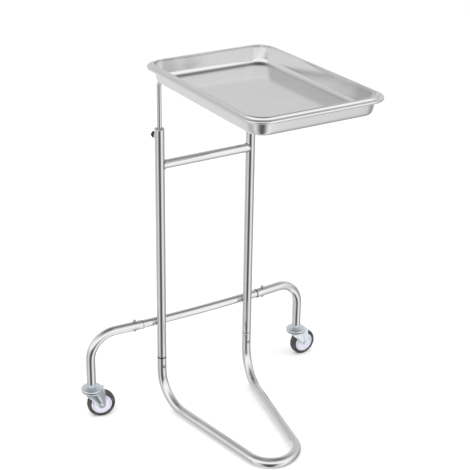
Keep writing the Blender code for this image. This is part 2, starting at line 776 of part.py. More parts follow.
def make_fork(side, swivel, finishes):
    """The pressed fork: a round crown, a web behind it and two tapered legs, joined into one body."""
    crown = [
        (STEM_R + SLIP, CROWN_TOP),
        (CROWN_R - 0.0012, CROWN_TOP),
        (CROWN_R, CROWN_TOP - 0.0012),
        (CROWN_R, CROWN_TOP - FORK_PLATE - 0.0012),
        (CROWN_R - 0.0020, CROWN_TOP - FORK_PLATE - 0.0012),
        (CROWN_R - 0.0022, CROWN_TOP - FORK_PLATE),
        (STEM_R + SLIP, CROWN_TOP - FORK_PLATE),
    ]
    body = turned(crown, ROUND_SIDES, "z", closed=True)
    fork = piece(f"{side}_caster_fork", [body], finishes["zinc"], swivel)
    legs = [plate_body(sign) for sign in (-1, 1)]
    boolean(fork, "UNION", tool_object(f"{side}_fork_legs", legs, swivel))
    half_web = FORK_INSIDE + FORK_PLATE * 0.5
    web_ends = (CROWN_TOP - FORK_PLATE + 0.0001, CROWN_TOP - 0.0001)
    corners = [(0.0120, -half_web), (0.0325, -half_web), (0.0325, half_web), (0.0120, half_web)]
    web = [np.array([(*corner, z) for corner in corners]) for z in web_ends]
    boolean(fork, "UNION", tool_object(f"{side}_fork_web", [(web, False)], swivel))
    reach = FORK_INSIDE + 0.01
    centre = (CASTER_TRAIL, 0.0, WHEEL_R)
    eye = cylinder_body(AXLE_R + SLIP, -reach, reach, SMALL_SIDES, "y", centre)
    boolean(fork, "DIFFERENCE", tool_object(f"{side}_fork_eyes", [eye], swivel))


def plate_body(sign):
    """One fork leg as a flat plate beside the wheel."""
    outline = np.array(plate_outline())
    rings = []
    for y in sorted((sign * FORK_INSIDE, sign * (FORK_INSIDE + FORK_PLATE))):
        rings.append(np.stack([outline[:, 0], np.full(len(outline), y), outline[:, 1]], 1))
    return rings, False


def ball_body(centre):
    """A bearing ball."""
    angles = np.radians([-60.0, 0.0, 60.0])
    profile = [(BALL_R * math.cos(a), BALL_R * math.sin(a)) for a in angles]
    return turned(profile, 6, "z", centre)


def make_wheel(side, axle, finishes):
    """Tyre, hub and bush, turned about the axle."""
    half = WHEEL_WIDTH / 2
    rim = HUB_R + GAP
    tyre = [
        (rim, -half + 0.0006),
        (rim + 0.0040, -half),
        (WHEEL_R - 0.0030, -half + 0.0010),
        (WHEEL_R - 0.0008, -half + 0.0036),
        (WHEEL_R, -half + 0.0075),
    ]
    tyre += [(r, -y) for r, y in tyre[::-1]]
    body = turned(tyre, ROUND_SIDES, "y", closed=True)
    piece(f"{side}_tyre", [body], finishes["tyre_rubber"], axle)
    bore = BUSH_R + GAP
    face = [
        (bore, half + 0.0006),
        (0.0105, half + 0.0006),
        (0.0115, half - 0.0030),
        (0.0225, half - 0.0030),
        (0.0235, half - 0.0006),
        (HUB_R, half - 0.0006),
    ]
    hub = [(r, -y) for r, y in face] + face[::-1]
    body = turned(hub, ROUND_SIDES, "y", closed=True)
    piece(f"{side}_hub", [body], finishes["hub_plastic"], axle)
    body = ring_body(AXLE_R + SLIP, BUSH_R, -half - 0.0014, half + 0.0014, SMALL_SIDES, "y")
    piece(f"{side}_wheel_bush", [body], finishes["rod_steel"], axle)


# ---------------------------------------------------------------- the cart


def main():
    """Builds the whole cart."""
    clear_scene()
    finishes = make_finishes()
    cart = empty("cart", None, CART_OFFSET)
    make_posts(cart, finishes)
    make_brace(cart, finishes)
    make_guide_bushes(cart, finishes)
    make_floor_tube(cart, finishes)
    make_crossbar(cart, finishes)
    slide = empty("height_slide", cart, (0.0, 0.0, 0.0))
    make_lifting_frame(slide, finishes)
    make_tray(empty("tray_lift", slide, (0.0, 0.0, 0.0)), finishes)
    for side in SIDES:
        make_clamp(side, cart, finishes)
        make_caster_mounting(side, cart, finishes)
        make_caster(side, cart, finishes)


main()
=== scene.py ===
"""Instrument cart: the finished looks of a steel tray on two telescopic posts with two casters.

Lengths are in metres, +Z is up and -Y is the front. Every finished piece is a surface worked out with numpy,
laid over the solids of the fixed frame, and rides on the body that the solid belongs to.
"""

from __future__ import annotations

import logging
import math
from dataclasses import dataclass, field
from enum import Enum
from typing import Callable, Sequence

import bpy
import numpy as np
from mathutils import Matrix, Vector


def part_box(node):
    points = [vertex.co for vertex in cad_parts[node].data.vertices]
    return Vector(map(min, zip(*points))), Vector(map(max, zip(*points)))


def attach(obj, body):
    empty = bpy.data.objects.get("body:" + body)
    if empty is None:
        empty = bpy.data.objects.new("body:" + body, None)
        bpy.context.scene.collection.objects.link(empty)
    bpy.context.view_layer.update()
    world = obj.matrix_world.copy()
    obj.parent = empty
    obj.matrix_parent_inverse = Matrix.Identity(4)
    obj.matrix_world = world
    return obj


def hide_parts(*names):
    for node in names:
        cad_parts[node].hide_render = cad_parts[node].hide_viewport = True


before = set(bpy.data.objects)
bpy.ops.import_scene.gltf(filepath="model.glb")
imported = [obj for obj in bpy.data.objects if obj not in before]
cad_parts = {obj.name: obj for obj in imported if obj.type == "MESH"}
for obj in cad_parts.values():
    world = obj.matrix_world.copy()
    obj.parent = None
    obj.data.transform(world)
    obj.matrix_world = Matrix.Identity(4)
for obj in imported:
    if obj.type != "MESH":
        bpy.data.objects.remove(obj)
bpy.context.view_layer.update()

LOG = logging.getLogger("instrument_cart")
GRAIN = "grain"  # attribute: x and y run across the polishing marks, z along them
SHARP_ANGLE = math.radians(35)
FULL_TURN = 2 * math.pi
Shape = Callable[[np.ndarray, np.ndarray], np.ndarray]  # gives a radius from (radius, angle)

# Sizes that several sub-assemblies share
TUBE_R = 0.0125
TUBE_WALL = 0.0012
TUBE_SIDES = 64
ROD_R = 0.006
GAP = 0.0003
CLAMP_SCREW_R = 0.003


class Side(Enum):
    """The two sides of the cart, with the sign of their X."""

    LEFT = -1
    RIGHT = 1

    @property
    def label(self) -> str:
        """The side's name in the frame's nodes."""
        return self.name.lower()


class Axis(Enum):
    """Directions that a turned piece can stand along, as (across, other, along)."""

    Y = ((0.0, 0.0, 1.0), (1.0, 0.0, 0.0), (0.0, 1.0, 0.0))
    Z = ((1.0, 0.0, 0.0), (0.0, 1.0, 0.0), (0.0, 0.0, 1.0))

    @property
    def rows(self) -> np.ndarray:
        """The three directions as the rows of an array."""
        return np.array(self.value)


# ------------------------------------------------------------------ surfaces


def middle_of(node: str) -> np.ndarray:
    """The centre of a frame node's box."""
    low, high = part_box(node)
    return (np.array(low) + np.array(high)) / 2


def seat_of(node: str, axis: int) -> tuple[np.ndarray, float]:
    """The middle of the low face of a node's box along an axis (0 to 2), and the box's length along it."""
    low, high = (np.array(corner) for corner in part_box(node))
    seat = (low + high) / 2
    seat[axis] = low[axis]
    return seat, high[axis] - low[axis]


def unit(vector: Sequence[float]) -> np.ndarray:
    """The vector at length one."""
    array = np.asarray(vector, float)
    return array / np.linalg.norm(array)


def fillet(
    points: Sequence[Sequence[float]],
    radius: float | Sequence[float],
    steps: int = 3,
    closed: bool = False,
) -> np.ndarray:
    """Rounds the corners of a polyline.

    Each corner C is replaced by the parabola (1-t)^2 A + 2t(1-t) C + t^2 B, where A and B lie on the two
    edges at the rounding's reach, or at 48% of the edge where it is shorter.

    Args:
        points: the corners, in order.
        radius: how far the rounding reaches along each edge, for all corners or for each.
        steps: the spans in each rounding.
        closed: whether the last corner joins the first.

    Returns:
        The rounded line, as (points, 2).
    """
    corners = np.asarray(points, float)
    reach = np.broadcast_to(radius, len(corners))[:, None]
    before, after = np.roll(corners, 1, 0), np.roll(corners, -1, 0)
    to_before, to_after = before - corners, after - corners
    near = np.linalg.norm(to_before, axis=1, keepdims=True)
    far = np.linalg.norm(to_after, axis=1, keepdims=True)
    first = corners + to_before / near * np.minimum(reach, 0.48 * near)
    last = corners + to_after / far * np.minimum(reach, 0.48 * far)
    t = np.linspace(0.0, 1.0, steps + 1)[None, :, None]
    curves = (1 - t) ** 2 * first[:, None] + 2 * t * (1 - t) * corners[:, None] + t**2 * last[:, None]
    if closed:
        return curves.reshape(-1, 2)
    inner = curves[1:-1].reshape(-1, 2)
    return np.vstack([corners[:1], inner, corners[-1:]])


def round_angles(count: int) -> np.ndarray:
    """Evenly spaced angles round a circle, from zero."""
    return FULL_TURN * np.arange(count) / count


def lengths_along(points: np.ndarray) -> np.ndarray:
    """The distance travelled along a line of points, from its first point."""
    steps = np.linalg.norm(np.diff(points, axis=0), axis=1)
    return np.concatenate([[0.0], np.cumsum(steps)])


@dataclass
class Grid:
    """A surface as rows of points: each row is one ring, and the rows follow each other along the piece.

    Attributes:
        points: (rows, columns, 3) places.
        grain: (rows, columns, 3) coordinates of the polishing marks, or the places where there are none.
        ring: whether each row closes on itself.
        loop: whether the last row joins the first.
    """

    points: np.ndarray
    grain: np.ndarray | None = None
    ring: bool = True
    loop: bool = False

    def faces(self) -> tuple[np.ndarray, np.ndarray, np.ndarray]:
        """The grid's faces, with rows that have shrunk to one point made into poles.

        Returns:
            (kept vertices, triangles, quads), the faces counted in kept vertices.
        """
        rows, columns = self.points.shape[:2]
        names = np.arange(rows * columns).reshape(rows, columns)
        spread = np.ptp(self.points, axis=1).max(axis=1)
        names[spread < 1e-7] = names[spread < 1e-7, :1]
        wide = np.hstack([names, names[:, :1]]) if self.ring else names
        tall = np.vstack([wide, wide[:1]]) if self.loop else wide
        quads = np.stack([tall[:-1, :-1], tall[:-1, 1:], tall[1:, 1:], tall[1:, :-1]], -1).reshape(-1, 4)
        low_pole = quads[:, 0] == quads[:, 1]
        high_pole = quads[:, 2] == quads[:, 3]
        at_low, at_high = quads[low_pole & ~high_pole], quads[high_pole & ~low_pole]
        triangles = np.vstack([at_low[:, [0, 2, 3]], at_high[:, :3]])
        quads = quads[~low_pole & ~high_pole]
        used, renamed = np.unique(np.concatenate([triangles.ravel(), quads.ravel()]), return_inverse=True)
        split = triangles.size
        return used, renamed[:split].reshape(-1, 3), renamed[split:].reshape(-1, 4)


def signed_volume(points: np.ndarray, triangles: np.ndarray, quads: np.ndarray) -> float:
    """Six times the volume inside a closed surface: the sum of each triangle's a . (b x c)."""
    every = np.vstack([triangles, quads[:, :3], quads[:, [0, 2, 3]]])
    a, b, c = (points[every[:, i]] for i in range(3))
    return float(np.einsum("ij,ij->i", a, np.cross(b, c)).sum())


def build_mesh(name: str, grids: Sequence[Grid]) -> bpy.types.Mesh:
    """Puts grids into one mesh, each with its faces pointing out.

    Args:
        name: the mesh's name.
        grids: closed surfaces.

    Returns:
        A smooth-shaded mesh with the grain attribute.
    """
    points, grains, triangles, quads, start = [], [], [], [], 0
    for grid in grids:
        used, three, four = grid.faces()
        place = grid.points.reshape(-1, 3)[used]
        if signed_volume(place - place.mean(0), three, four) < 0:
            three, four = three[:, ::-1], four[:, ::-1]
        points.append(place)
        grain = grid.points if grid.grain is None else grid.grain
        grains.append(grain.reshape(-1, 3)[used])
        triangles.append(three + start)
        quads.append(four + start)
        start += len(used)
    every = np.vstack(points)
    faces = np.vstack(triangles).tolist() + np.vstack(quads).tolist()
    mesh = bpy.data.meshes.new(name)
    mesh.from_pydata(every.tolist(), [], faces)
    attribute = mesh.attributes.new(GRAIN, "FLOAT_VECTOR", "POINT")
    attribute.data.foreach_set("vector", np.vstack(grains).astype(np.float32).ravel())
    mesh.update()
    mesh.shade_smooth()
    mesh.set_sharp_from_angle(angle=SHARP_ANGLE)
    return mesh


@dataclass
class Path:
    """A line through space that carries a pair of directions across it without twist."""

    points: np.ndarray
    tangents: np.ndarray
    sides: np.ndarray

    @property
    def lengths(self) -> np.ndarray:
        """The distance from the start to each point."""
        return lengths_along(self.points)

    def at(self, distances: np.ndarray) -> tuple[np.ndarray, np.ndarray, np.ndarray]:
        """The places on the path at given distances, and the two directions across it."""
        known = self.lengths

        def read(values: np.ndarray) -> np.ndarray:
            """Each coordinate read off along the path."""
            return np.stack([np.interp(distances, known, values[:, i]) for i in range(3)], -1)

        tangent, side = read(self.tangents), read(self.sides)
        tangent /= np.linalg.norm(tangent, axis=1, keepdims=True)
        side -= tangent * np.sum(side * tangent, axis=1, keepdims=True)
        side /= np.linalg.norm(side, axis=1, keepdims=True)
        return read(self.points), side, np.cross(tangent, side)


class PathMaker:
    """Builds a path from straight runs and bends."""

    def __init__(self, start: Sequence[float], heading: Sequence[float], side: Sequence[float]) -> None:
        """Starts at a point, with a heading and one direction across it."""
        self.points = [np.asarray(start, float)[None]]
        self.tangents = [unit(heading)[None]]
        self.sides = [unit(side)[None]]

    def straight(self, length: float, step: float = 0.03) -> "PathMaker":
        """Goes straight on for a length."""
        count = max(2, int(length / step) + 1)
        travel = np.linspace(0.0, length, count)[1:, None]
        start, heading, side = self.points[-1][-1], self.tangents[-1][-1], self.sides[-1][-1]
        self.points.append(start + heading * travel)
        self.tangents.append(np.repeat(heading[None], len(travel), 0))
        self.sides.append(np.repeat(side[None], len(travel), 0))
        return self

    def bend(self, towards: Sequence[float], angle: float, radius: float, steps: int = 28) -> "PathMaker":
        """Turns by an angle, with a radius, in the plane of the heading and a direction.

        A vector v turned by a about the unit axis k is v cos a + (k x v) sin a + k (k . v)(1 - cos a).
        """
        start, heading, side = self.points[-1][-1], self.tangents[-1][-1], self.sides[-1][-1]
        axis = unit(np.cross(heading, towards))
        centre = start + np.cross(axis, heading) * radius
        angles = np.linspace(0.0, angle, steps + 1)[1:, None]

        def turned(vector: np.ndarray) -> np.ndarray:
            """The vector at each angle of the bend."""
            flat = vector * np.cos(angles) + np.cross(axis, vector) * np.sin(angles)
            return flat + axis * (axis @ vector) * (1 - np.cos(angles))

        self.points.append(centre + turned(start - centre))
        self.tangents.append(turned(heading))
        self.sides.append(turned(side))
        return self

    def path(self) -> Path:
        """The finished path."""
        return Path(np.vstack(self.points), np.vstack(self.tangents), np.vstack(self.sides))


def sweep(path: Path, profile: np.ndarray, sides: int = 48, loop: bool = False, origin: float = 0.0) -> Grid:
    """A round section carried along a path.

    The point at distance s and angle a is P(s) + r (cos a N(s) + sin a B(s)), where the profile gives the
    pairs (s, r), and N and B are the path's two directions across.

    Args:
        path: the line that the section follows.
        profile: (distance, radius) pairs, in order.
        sides: points round the section.
        loop: whether the profile's last pair joins its first, as on a tube with a wall.
        origin: the distance at which the grain counts from zero; the tube finish paints the shade of a
            joint's groove near it.

    Returns:
        The surface.
    """
    angles = round_angles(sides)
    centre, normal, binormal = path.at(profile[:, 0])
    radii = profile[:, 1][:, None, None]
    cosines, sines = np.cos(angles)[None, :, None], np.sin(angles)[None, :, None]
    points = centre[:, None] + radii * (cosines * normal[:, None] + sines * binormal[:, None])
    shape = (len(profile), sides)
    across = np.broadcast_to(np.cos(angles) * TUBE_R, shape)
    other = np.broadcast_to(np.sin(angles) * TUBE_R, shape)
    along = np.broadcast_to(profile[:, :1] - origin, shape)
    return Grid(points, np.stack([across, other, along], -1), True, loop)


def tube_profile(path: Path, outer: float, inner: float, chamfer: float = 0.0007) -> np.ndarray:
    """The (distance, radius) loop of a tube: out along its skin, over the cut end, and back inside."""
    length = path.lengths[-1]
    stops = path.lengths[(path.lengths > 0.003) & (path.lengths < length - 0.003)]
    skin = np.stack([stops, np.full(len(stops), outer)], 1)
    bore = np.stack([stops[::-1], np.full(len(stops), inner)], 1)
    corners = [(0.003, inner), (0.0, inner), (0.0, outer - chamfer), (1.5 * chamfer, outer), (0.003, outer)]
    start = fillet(corners, 0.0003)[1:-1]
    end = np.stack([length - start[::-1, 0], start[::-1, 1]], 1)
    return np.vstack([start, skin, end, bore])


def rod_profile(path: Path, radius: float, lip: float = 0.001) -> np.ndarray:
    """The (distance, radius) line of a solid rod with rounded ends."""
    length = path.lengths[-1]
    stops = path.lengths[(path.lengths > 2 * lip) & (path.lengths < length - 2 * lip)]
    start = fillet([(0.0, 0.0), (0.0, radius), (4 * lip, radius)], lip, 4)[:-1]
    end = np.stack([length - start[::-1, 0], start[::-1, 1]], 1)
    return np.vstack([start, np.stack([stops, np.full(len(stops), radius)], 1), end])


def revolve(
    corners: Sequence[Sequence[float]],
    rounding: float,
    centre: Sequence[float],
    axis: Axis = Axis.Z,
    turn: float = 0.0,
    steps: int = 3,
    sides: int = 64,
    loop: bool = False,
    shape: Shape | None = None,
) -> Grid:
    """A profile with rounded corners, turned about an axis.

    The point at profile radius r, height h and angle a is the centre plus h along the axis plus r out in
    the direction of a. A shape function may limit or wave r by the angle, as on a hexagon or a lobed knob.

    Args:
        corners: the profile's (radius, height) corners, in order.
        rounding: how far each corner's rounding reaches.
        centre: the point on the axis at height zero.
        axis: the axis's direction before the turn.
        turn: how far the piece is turned about +Z.
        steps: the spans in each rounding.
        sides: points round the axis.
        loop: whether the profile closes on itself, as on a ring.
        shape: gives the radius from (radius, angle).

    Returns:
        The surface.
    """
    profile = fillet(corners, rounding, steps, loop)
    angles = round_angles(sides)
    radii = np.broadcast_to(profile[:, :1], (len(profile), sides))
    if shape is not None:
        radii = shape(radii, angles[None])
    across, other, along = axis.rows @ turning(turn).T
    heights = profile[:, 1][:, None, None]
    out = np.cos(angles)[None, :, None] * across + np.sin(angles)[None, :, None] * other
    points = np.asarray(centre, float) + radii[..., None] * out + heights * along
    travelled = np.broadcast_to(lengths_along(profile)[:, None], radii.shape)
    swing = np.broadcast_to(np.cos(angles)[None] * 0.05, radii.shape)
    return Grid(points, np.stack([travelled, np.zeros_like(travelled), swing], -1), True, loop)


def turning(angle: float) -> np.ndarray:
    """The matrix of a turn about +Z."""
    c, s = math.cos(angle), math.sin(angle)
    return np.array([[c, -s, 0.0], [s, c, 0.0], [0.0, 0.0, 1.0]])


def hexagon(across_flats: float) -> Shape:
    """A shape function that cuts six flats: the radius is at most half the flats' distance over cos(a)."""

    def cut(radii: np.ndarray, angles: np.ndarray) -> np.ndarray:
        """The radius under the nearest flat."""
        from_flat = np.mod(angles, math.pi / 3) - math.pi / 6
        return np.minimum(radii, across_flats / 2 / np.cos(from_flat))

    return cut


def rounded_rectangle(width: float, length: float, radius: float, corner: int, edge: int) -> np.ndarray:
    """Points round a rounded rectangle about the origin: quarter circles joined by evenly cut edges."""
    quarter = np.linspace(0.0, math.pi / 2, corner + 1)
    arcs = []
    for index, (sx, sy) in enumerate(((1, 1), (-1, 1), (-1, -1), (1, -1))):
        angles = quarter + index * math.pi / 2
        centre = np.array([sx * (width / 2 - radius), sy * (length / 2 - radius)])
        arcs.append(centre + radius * np.stack([np.cos(angles), np.sin(angles)], 1))
    part = np.linspace(0.0, 1.0, edge + 1)[1:-1, None]
    pieces = []
    for arc, following in zip(arcs, arcs[1:] + arcs[:1]):
        pieces += [arc, arc[-1] + (following[0] - arc[-1]) * part]
    return np.vstack(pieces)


def slab(width: float, length: float, radius: float, low: float, high: float, lip: float) -> np.ndarray:
    """Rings of a flat plate with rounded edges, as (rings, points, 3), about the origin."""
    section = fillet([(1.0, low), (0.0, low), (0.0, high), (1.0, high)], lip, 4)[1:-1]
    rings = []
    for inset, height in section:
        flat = rounded_rectangle(width - 2 * inset, length - 2 * inset, max(radius - inset, 1e-4), 6, 4)
        rings.append(np.hstack([flat, np.full((len(flat), 1), height)]))
    centre_low, centre_high = np.zeros_like(rings[0]), np.zeros_like(rings[0])
    centre_low[:, 2], centre_high[:, 2] = low, high
    return np.stack([centre_low, *rings, centre_high])


# ------------------------------------------------------------------ shader writing


def operator(operation: str, reflected: bool = False) -> Callable[["Value", "Value | float"], "Value"]:
    """A method for one of Python's operators.

    Args:
        operation: the Math node's operation.
        reflected: whether the socket stands on the right of the operator.

    Returns:
        The method.
    """

    def method(self: "Value", other: "Value | float") -> "Value":
        """Adds the Math node."""
        pair = (other, self) if reflected else (self, other)
        made = self.shader.node("ShaderNodeMath", {"operation": operation}, pair)
        return Value(self.shader, made.outputs[0])

    return method


class Value:
    """A number socket that takes part in Python sums: each operator adds its Math node."""

    def __init__(self, shader: "Shader", socket: bpy.types.NodeSocket) -> None:
        """Wraps a socket of a shader."""
        self.shader = shader
        self.socket = socket

    __add__ = operator("ADD")
    __radd__ = operator("ADD", True)
    __sub__ = operator("SUBTRACT")
    __rsub__ = operator("SUBTRACT", True)
    __mul__ = operator("MULTIPLY")
    __rmul__ = operator("MULTIPLY", True)
    __truediv__ = operator("DIVIDE")

    def above(self, edge: float, softness: float) -> "Value":
        """0 below the edge and 1 above it, with a soft step."""
        settings = {"interpolation_type": "SMOOTHSTEP"}
        sockets = {"Value": self, "From Min": edge - softness, "From Max": edge + softness}
        return Value(self.shader, self.shader.node("ShaderNodeMapRange", settings, sockets).outputs[0])


class Shader:
    """Writes the nodes of one material or of the world."""

    def __init__(self, tree: bpy.types.NodeTree) -> None:
        """Takes an empty node tree."""
        self.tree = tree
        tree.nodes.clear()

    def node(self, kind: str, settings: dict, sockets: dict | Sequence = ()) -> bpy.types.Node:
        """Adds any node.

        Args:
            kind: the node's type.
            settings: its properties.
            sockets: values or links by socket name or by order.

        Returns:
            The node.
        """
        made = self.tree.nodes.new(kind)
        for key, value in settings.items():
            setattr(made, key, value)
        pairs = sockets.items() if isinstance(sockets, dict) else enumerate(sockets)
        for key, value in pairs:
            self.put(made.inputs[key], value)
        return made

    def put(self, socket: bpy.types.NodeSocket, value: object) -> None:
        """Links a value to a socket, or sets the socket to a number or a colour."""
        if isinstance(value, Value):
            self.tree.links.new(value.socket, socket)
        elif isinstance(value, bpy.types.NodeSocket):
            self.tree.links.new(value, socket)
        else:
            socket.default_value = value

    def ramp(self, stops: Sequence[tuple[float, float]], place: Value) -> Value:
        """A grey read off a ramp of (place, tone) stops."""
        made = self.node("ShaderNodeValToRGB", {}, (place,))
        elements = made.color_ramp.elements
        while len(elements) < len(stops):
            elements.new(0.5)
        for element, (position, tone) in zip(elements, stops):
            element.position = position
            element.color = (tone, tone, tone, 1.0)
        return Value(self, made.outputs[0])

    def grain(self, stretch: Sequence[float]) -> bpy.types.NodeSocket:
        """The piece's grain coordinates, stretched."""
        read = self.node("ShaderNodeAttribute", {"attribute_name": GRAIN})
        return self.scaled(read.outputs["Vector"], stretch)

    def place(self, stretch: Sequence[float] = (1.0, 1.0, 1.0)) -> bpy.types.NodeSocket:
        """The object coordinates, stretched."""
        return self.scaled(self.node("ShaderNodeTexCoord", {}).outputs["Object"], stretch)

    def scaled(self, vector: bpy.types.NodeSocket, stretch: Sequence[float]) -> bpy.types.NodeSocket:
        """A vector multiplied axis by axis."""
        sockets = (vector, tuple(stretch))
        return self.node("ShaderNodeVectorMath", {"operation": "MULTIPLY"}, sockets).outputs[0]

    def noise(self, vector: bpy.types.NodeSocket, scale: float, detail: float = 2.0) -> Value:
        """A noise from 0 to 1."""
        sockets = {"Vector": vector, "Scale": scale, "Detail": detail, "Roughness": 0.55}
        return Value(self, self.node("ShaderNodeTexNoise", {}, sockets).outputs["Fac"])

    def blend(self, factor: Value, low: object, high: object) -> bpy.types.NodeSocket:
        """A colour between two, which are colours or links."""
        ends = {index: (*end, 1.0) if isinstance(end, tuple) else end for index, end in ((6, low), (7, high))}
        return self.node("ShaderNodeMix", {"data_type": "RGBA"}, {0: factor, **ends}).outputs[2]

    def bump(self, height: Value, distance: float, strength: float, **under: object) -> bpy.types.NodeSocket:
        """A bump normal from a height, which may lie over another as Normal."""
        sockets = {"Height": height, "Distance": distance, "Strength": strength, **under}
        return self.node("ShaderNodeBump", {}, sockets).outputs["Normal"]

    def surface(self, sockets: dict) -> None:
        """Ends a material in a Principled shader with these sockets."""
        shader = self.node("ShaderNodeBsdfPrincipled", {}, sockets)
        self.node("ShaderNodeOutputMaterial", {}, {"Surface": shader.outputs[0]})


Colour = tuple[float, float, float]
# Painted shade: the near-black colour painted at a tube's end where it meets another part, in place of the
# shade in the joint's groove.
JOINT_SHADE_COLOUR = (0.045, 0.042, 0.040)


@dataclass(frozen=True)
class MaterialFinish:
    """What every finish has: a name, which is also its slot in the record, and a Principled shader."""

    name: str

    def make(self) -> bpy.types.Material:
        """Builds the material."""
        made = bpy.data.materials.new(self.name)
        made.use_nodes = True
        shader = Shader(made.node_tree)
        shader.surface(self.sockets(shader))
        return made

    def sockets(self, shader: Shader) -> dict:
        """What goes into the Principled shader's sockets."""
        raise NotImplementedError


@dataclass(frozen=True)
class MetalFinish(MaterialFinish):
    """A polished, brushed or plated metal.

    Attributes:
        dark: the colour in the marks.
        light: the colour between them.
        smooth: the lowest roughness.
        rough: the highest roughness.
        marks: how many marks there are in a metre across the grain.
        reach: how many there are in a metre along it.
        depth: the height of the marks.
        cloud: how many cloudy patches there are in a metre.
        seam: how far the painted shade of a joint's groove reaches from the tube's end.
    """

    dark: Colour
    light: Colour
    smooth: float
    rough: float
    marks: float
    reach: float
    depth: float
    cloud: float = 14.0
    seam: float = 0.0

    def sockets(self, shader: Shader) -> dict:
        """Fine marks along the grain, cloudy patches, dark specks, and painted shade at a joint near the
        tube's end.
        """
        marks = shader.noise(shader.grain((self.marks, self.marks, self.reach)), 1.0, 3.0)
        patches = shader.noise(shader.place(), self.cloud, 3.0)
        specks = shader.noise(shader.place(), 420.0, 2.0).above(0.66, 0.05)
        tone = (marks * 0.55 + patches * 0.45) - specks * 0.10
        mix = marks * 0.45 + patches * 0.45 + specks * 0.25
        roughness = self.smooth + (self.rough - self.smooth) * mix
        colour = shader.blend(tone, self.dark, self.light)
        # Painted shade: near a tube's end at a joint the colour turns near-black and rougher, in place of the
        # shade that falls into the joint's groove.
        if self.seam:
            along = shader.grain((0.0, 0.0, 1.0))
            length = shader.node("ShaderNodeVectorMath", {"operation": "LENGTH"}, (along,)).outputs[1]
            painted_joint_shade = 1 - Value(shader, length).above(self.seam, self.seam * 0.4)
            colour = shader.blend(painted_joint_shade, colour, JOINT_SHADE_COLOUR)
            roughness = roughness + painted_joint_shade * 0.3
        return {
            "Base Color": colour,
            "Metallic": 1.0,
            "Roughness": roughness,
            "Normal": shader.bump(marks, self.depth, 0.35),
        }


@dataclass(frozen=True)
class SheetFinish(MaterialFinish):
    """Pressed steel sheet: satin outside, polished inside.

    The grain attribute holds (across the polishing lines, how polished, along the lines).

    Attributes:
        dark: the colour in the lines.
        light: the colour between them.
        satin: the roughness outside.
        polished: the roughness inside.
        lines: how many polishing lines there are in a metre.
        depth: the height of the lines.
        ripple: the height of the pressing's slow waves.
    """

    dark: Colour
    light: Colour
    satin: float
    polished: float
    lines: float
    depth: float
    ripple: float

    def sockets(self, shader: Shader) -> dict:
        """Polishing lines, patches and a few scuffs, over the slow waves of pressed sheet."""
        lines = shader.noise(shader.grain((self.lines, 0.0, 6.0)), 1.0, 3.0)
        read = shader.node("ShaderNodeAttribute", {"attribute_name": GRAIN}).outputs["Vector"]
        polish = Value(shader, shader.node("ShaderNodeSeparateXYZ", {}, (read,)).outputs[1])
        patches = shader.noise(shader.place(), 7.0, 3.0)
        waves = shader.noise(shader.place((1.0, 1.0, 1.6)), 16.0, 1.0)
        scuffs = shader.noise(shader.place((26.0, 240.0, 120.0)), 1.0, 2.0).above(0.70, 0.05)
        tone = lines * 0.45 + patches * 0.55 - scuffs * 0.10
        roughness = self.satin + polish * (self.polished - self.satin) + (lines + patches - 1.0) * 0.07
        return {
            "Base Color": shader.blend(tone, self.dark, self.light),
            "Metallic": 1.0,
            "Roughness": roughness + scuffs * 0.06,
            "Normal": shader.bump(waves, self.ripple, 1.0, Normal=shader.bump(lines, self.depth, 0.25)),
        }


@dataclass(frozen=True)
class PlasticFinish(MaterialFinish):
    """Moulded plastic or rubber, with a fine skin and worn or dusty patches.

    Attributes:
        base: the colour.
        worn: the colour where it is rubbed or dusty.
        smooth: the lowest roughness.
        rough: the highest roughness.
        pebble: how many bumps of its skin there are in a metre.
        depth: the height of the skin.
        wear: the share of the surface that is worn, from 0 to 1.
    """

    base: Colour
    worn: Colour
    smooth: float
    rough: float
    pebble: float
    depth: float
    wear: float

    def sockets(self, shader: Shader) -> dict:
        """Worn patches, rougher than the rest, over a pebbled skin."""
        skin = shader.noise(shader.place(), self.pebble, 2.0)
        patches = shader.noise(shader.place(), 60.0, 4.0)
        worn = patches.above(1.0 - self.wear, 0.16)
        return {
            "Base Color": shader.blend(worn, self.base, self.worn),
            "Roughness": self.smooth + (self.rough - self.smooth) * (patches * 0.6 + worn * 0.4),
            "Normal": shader.bump(skin, self.depth, 0.4),
        }


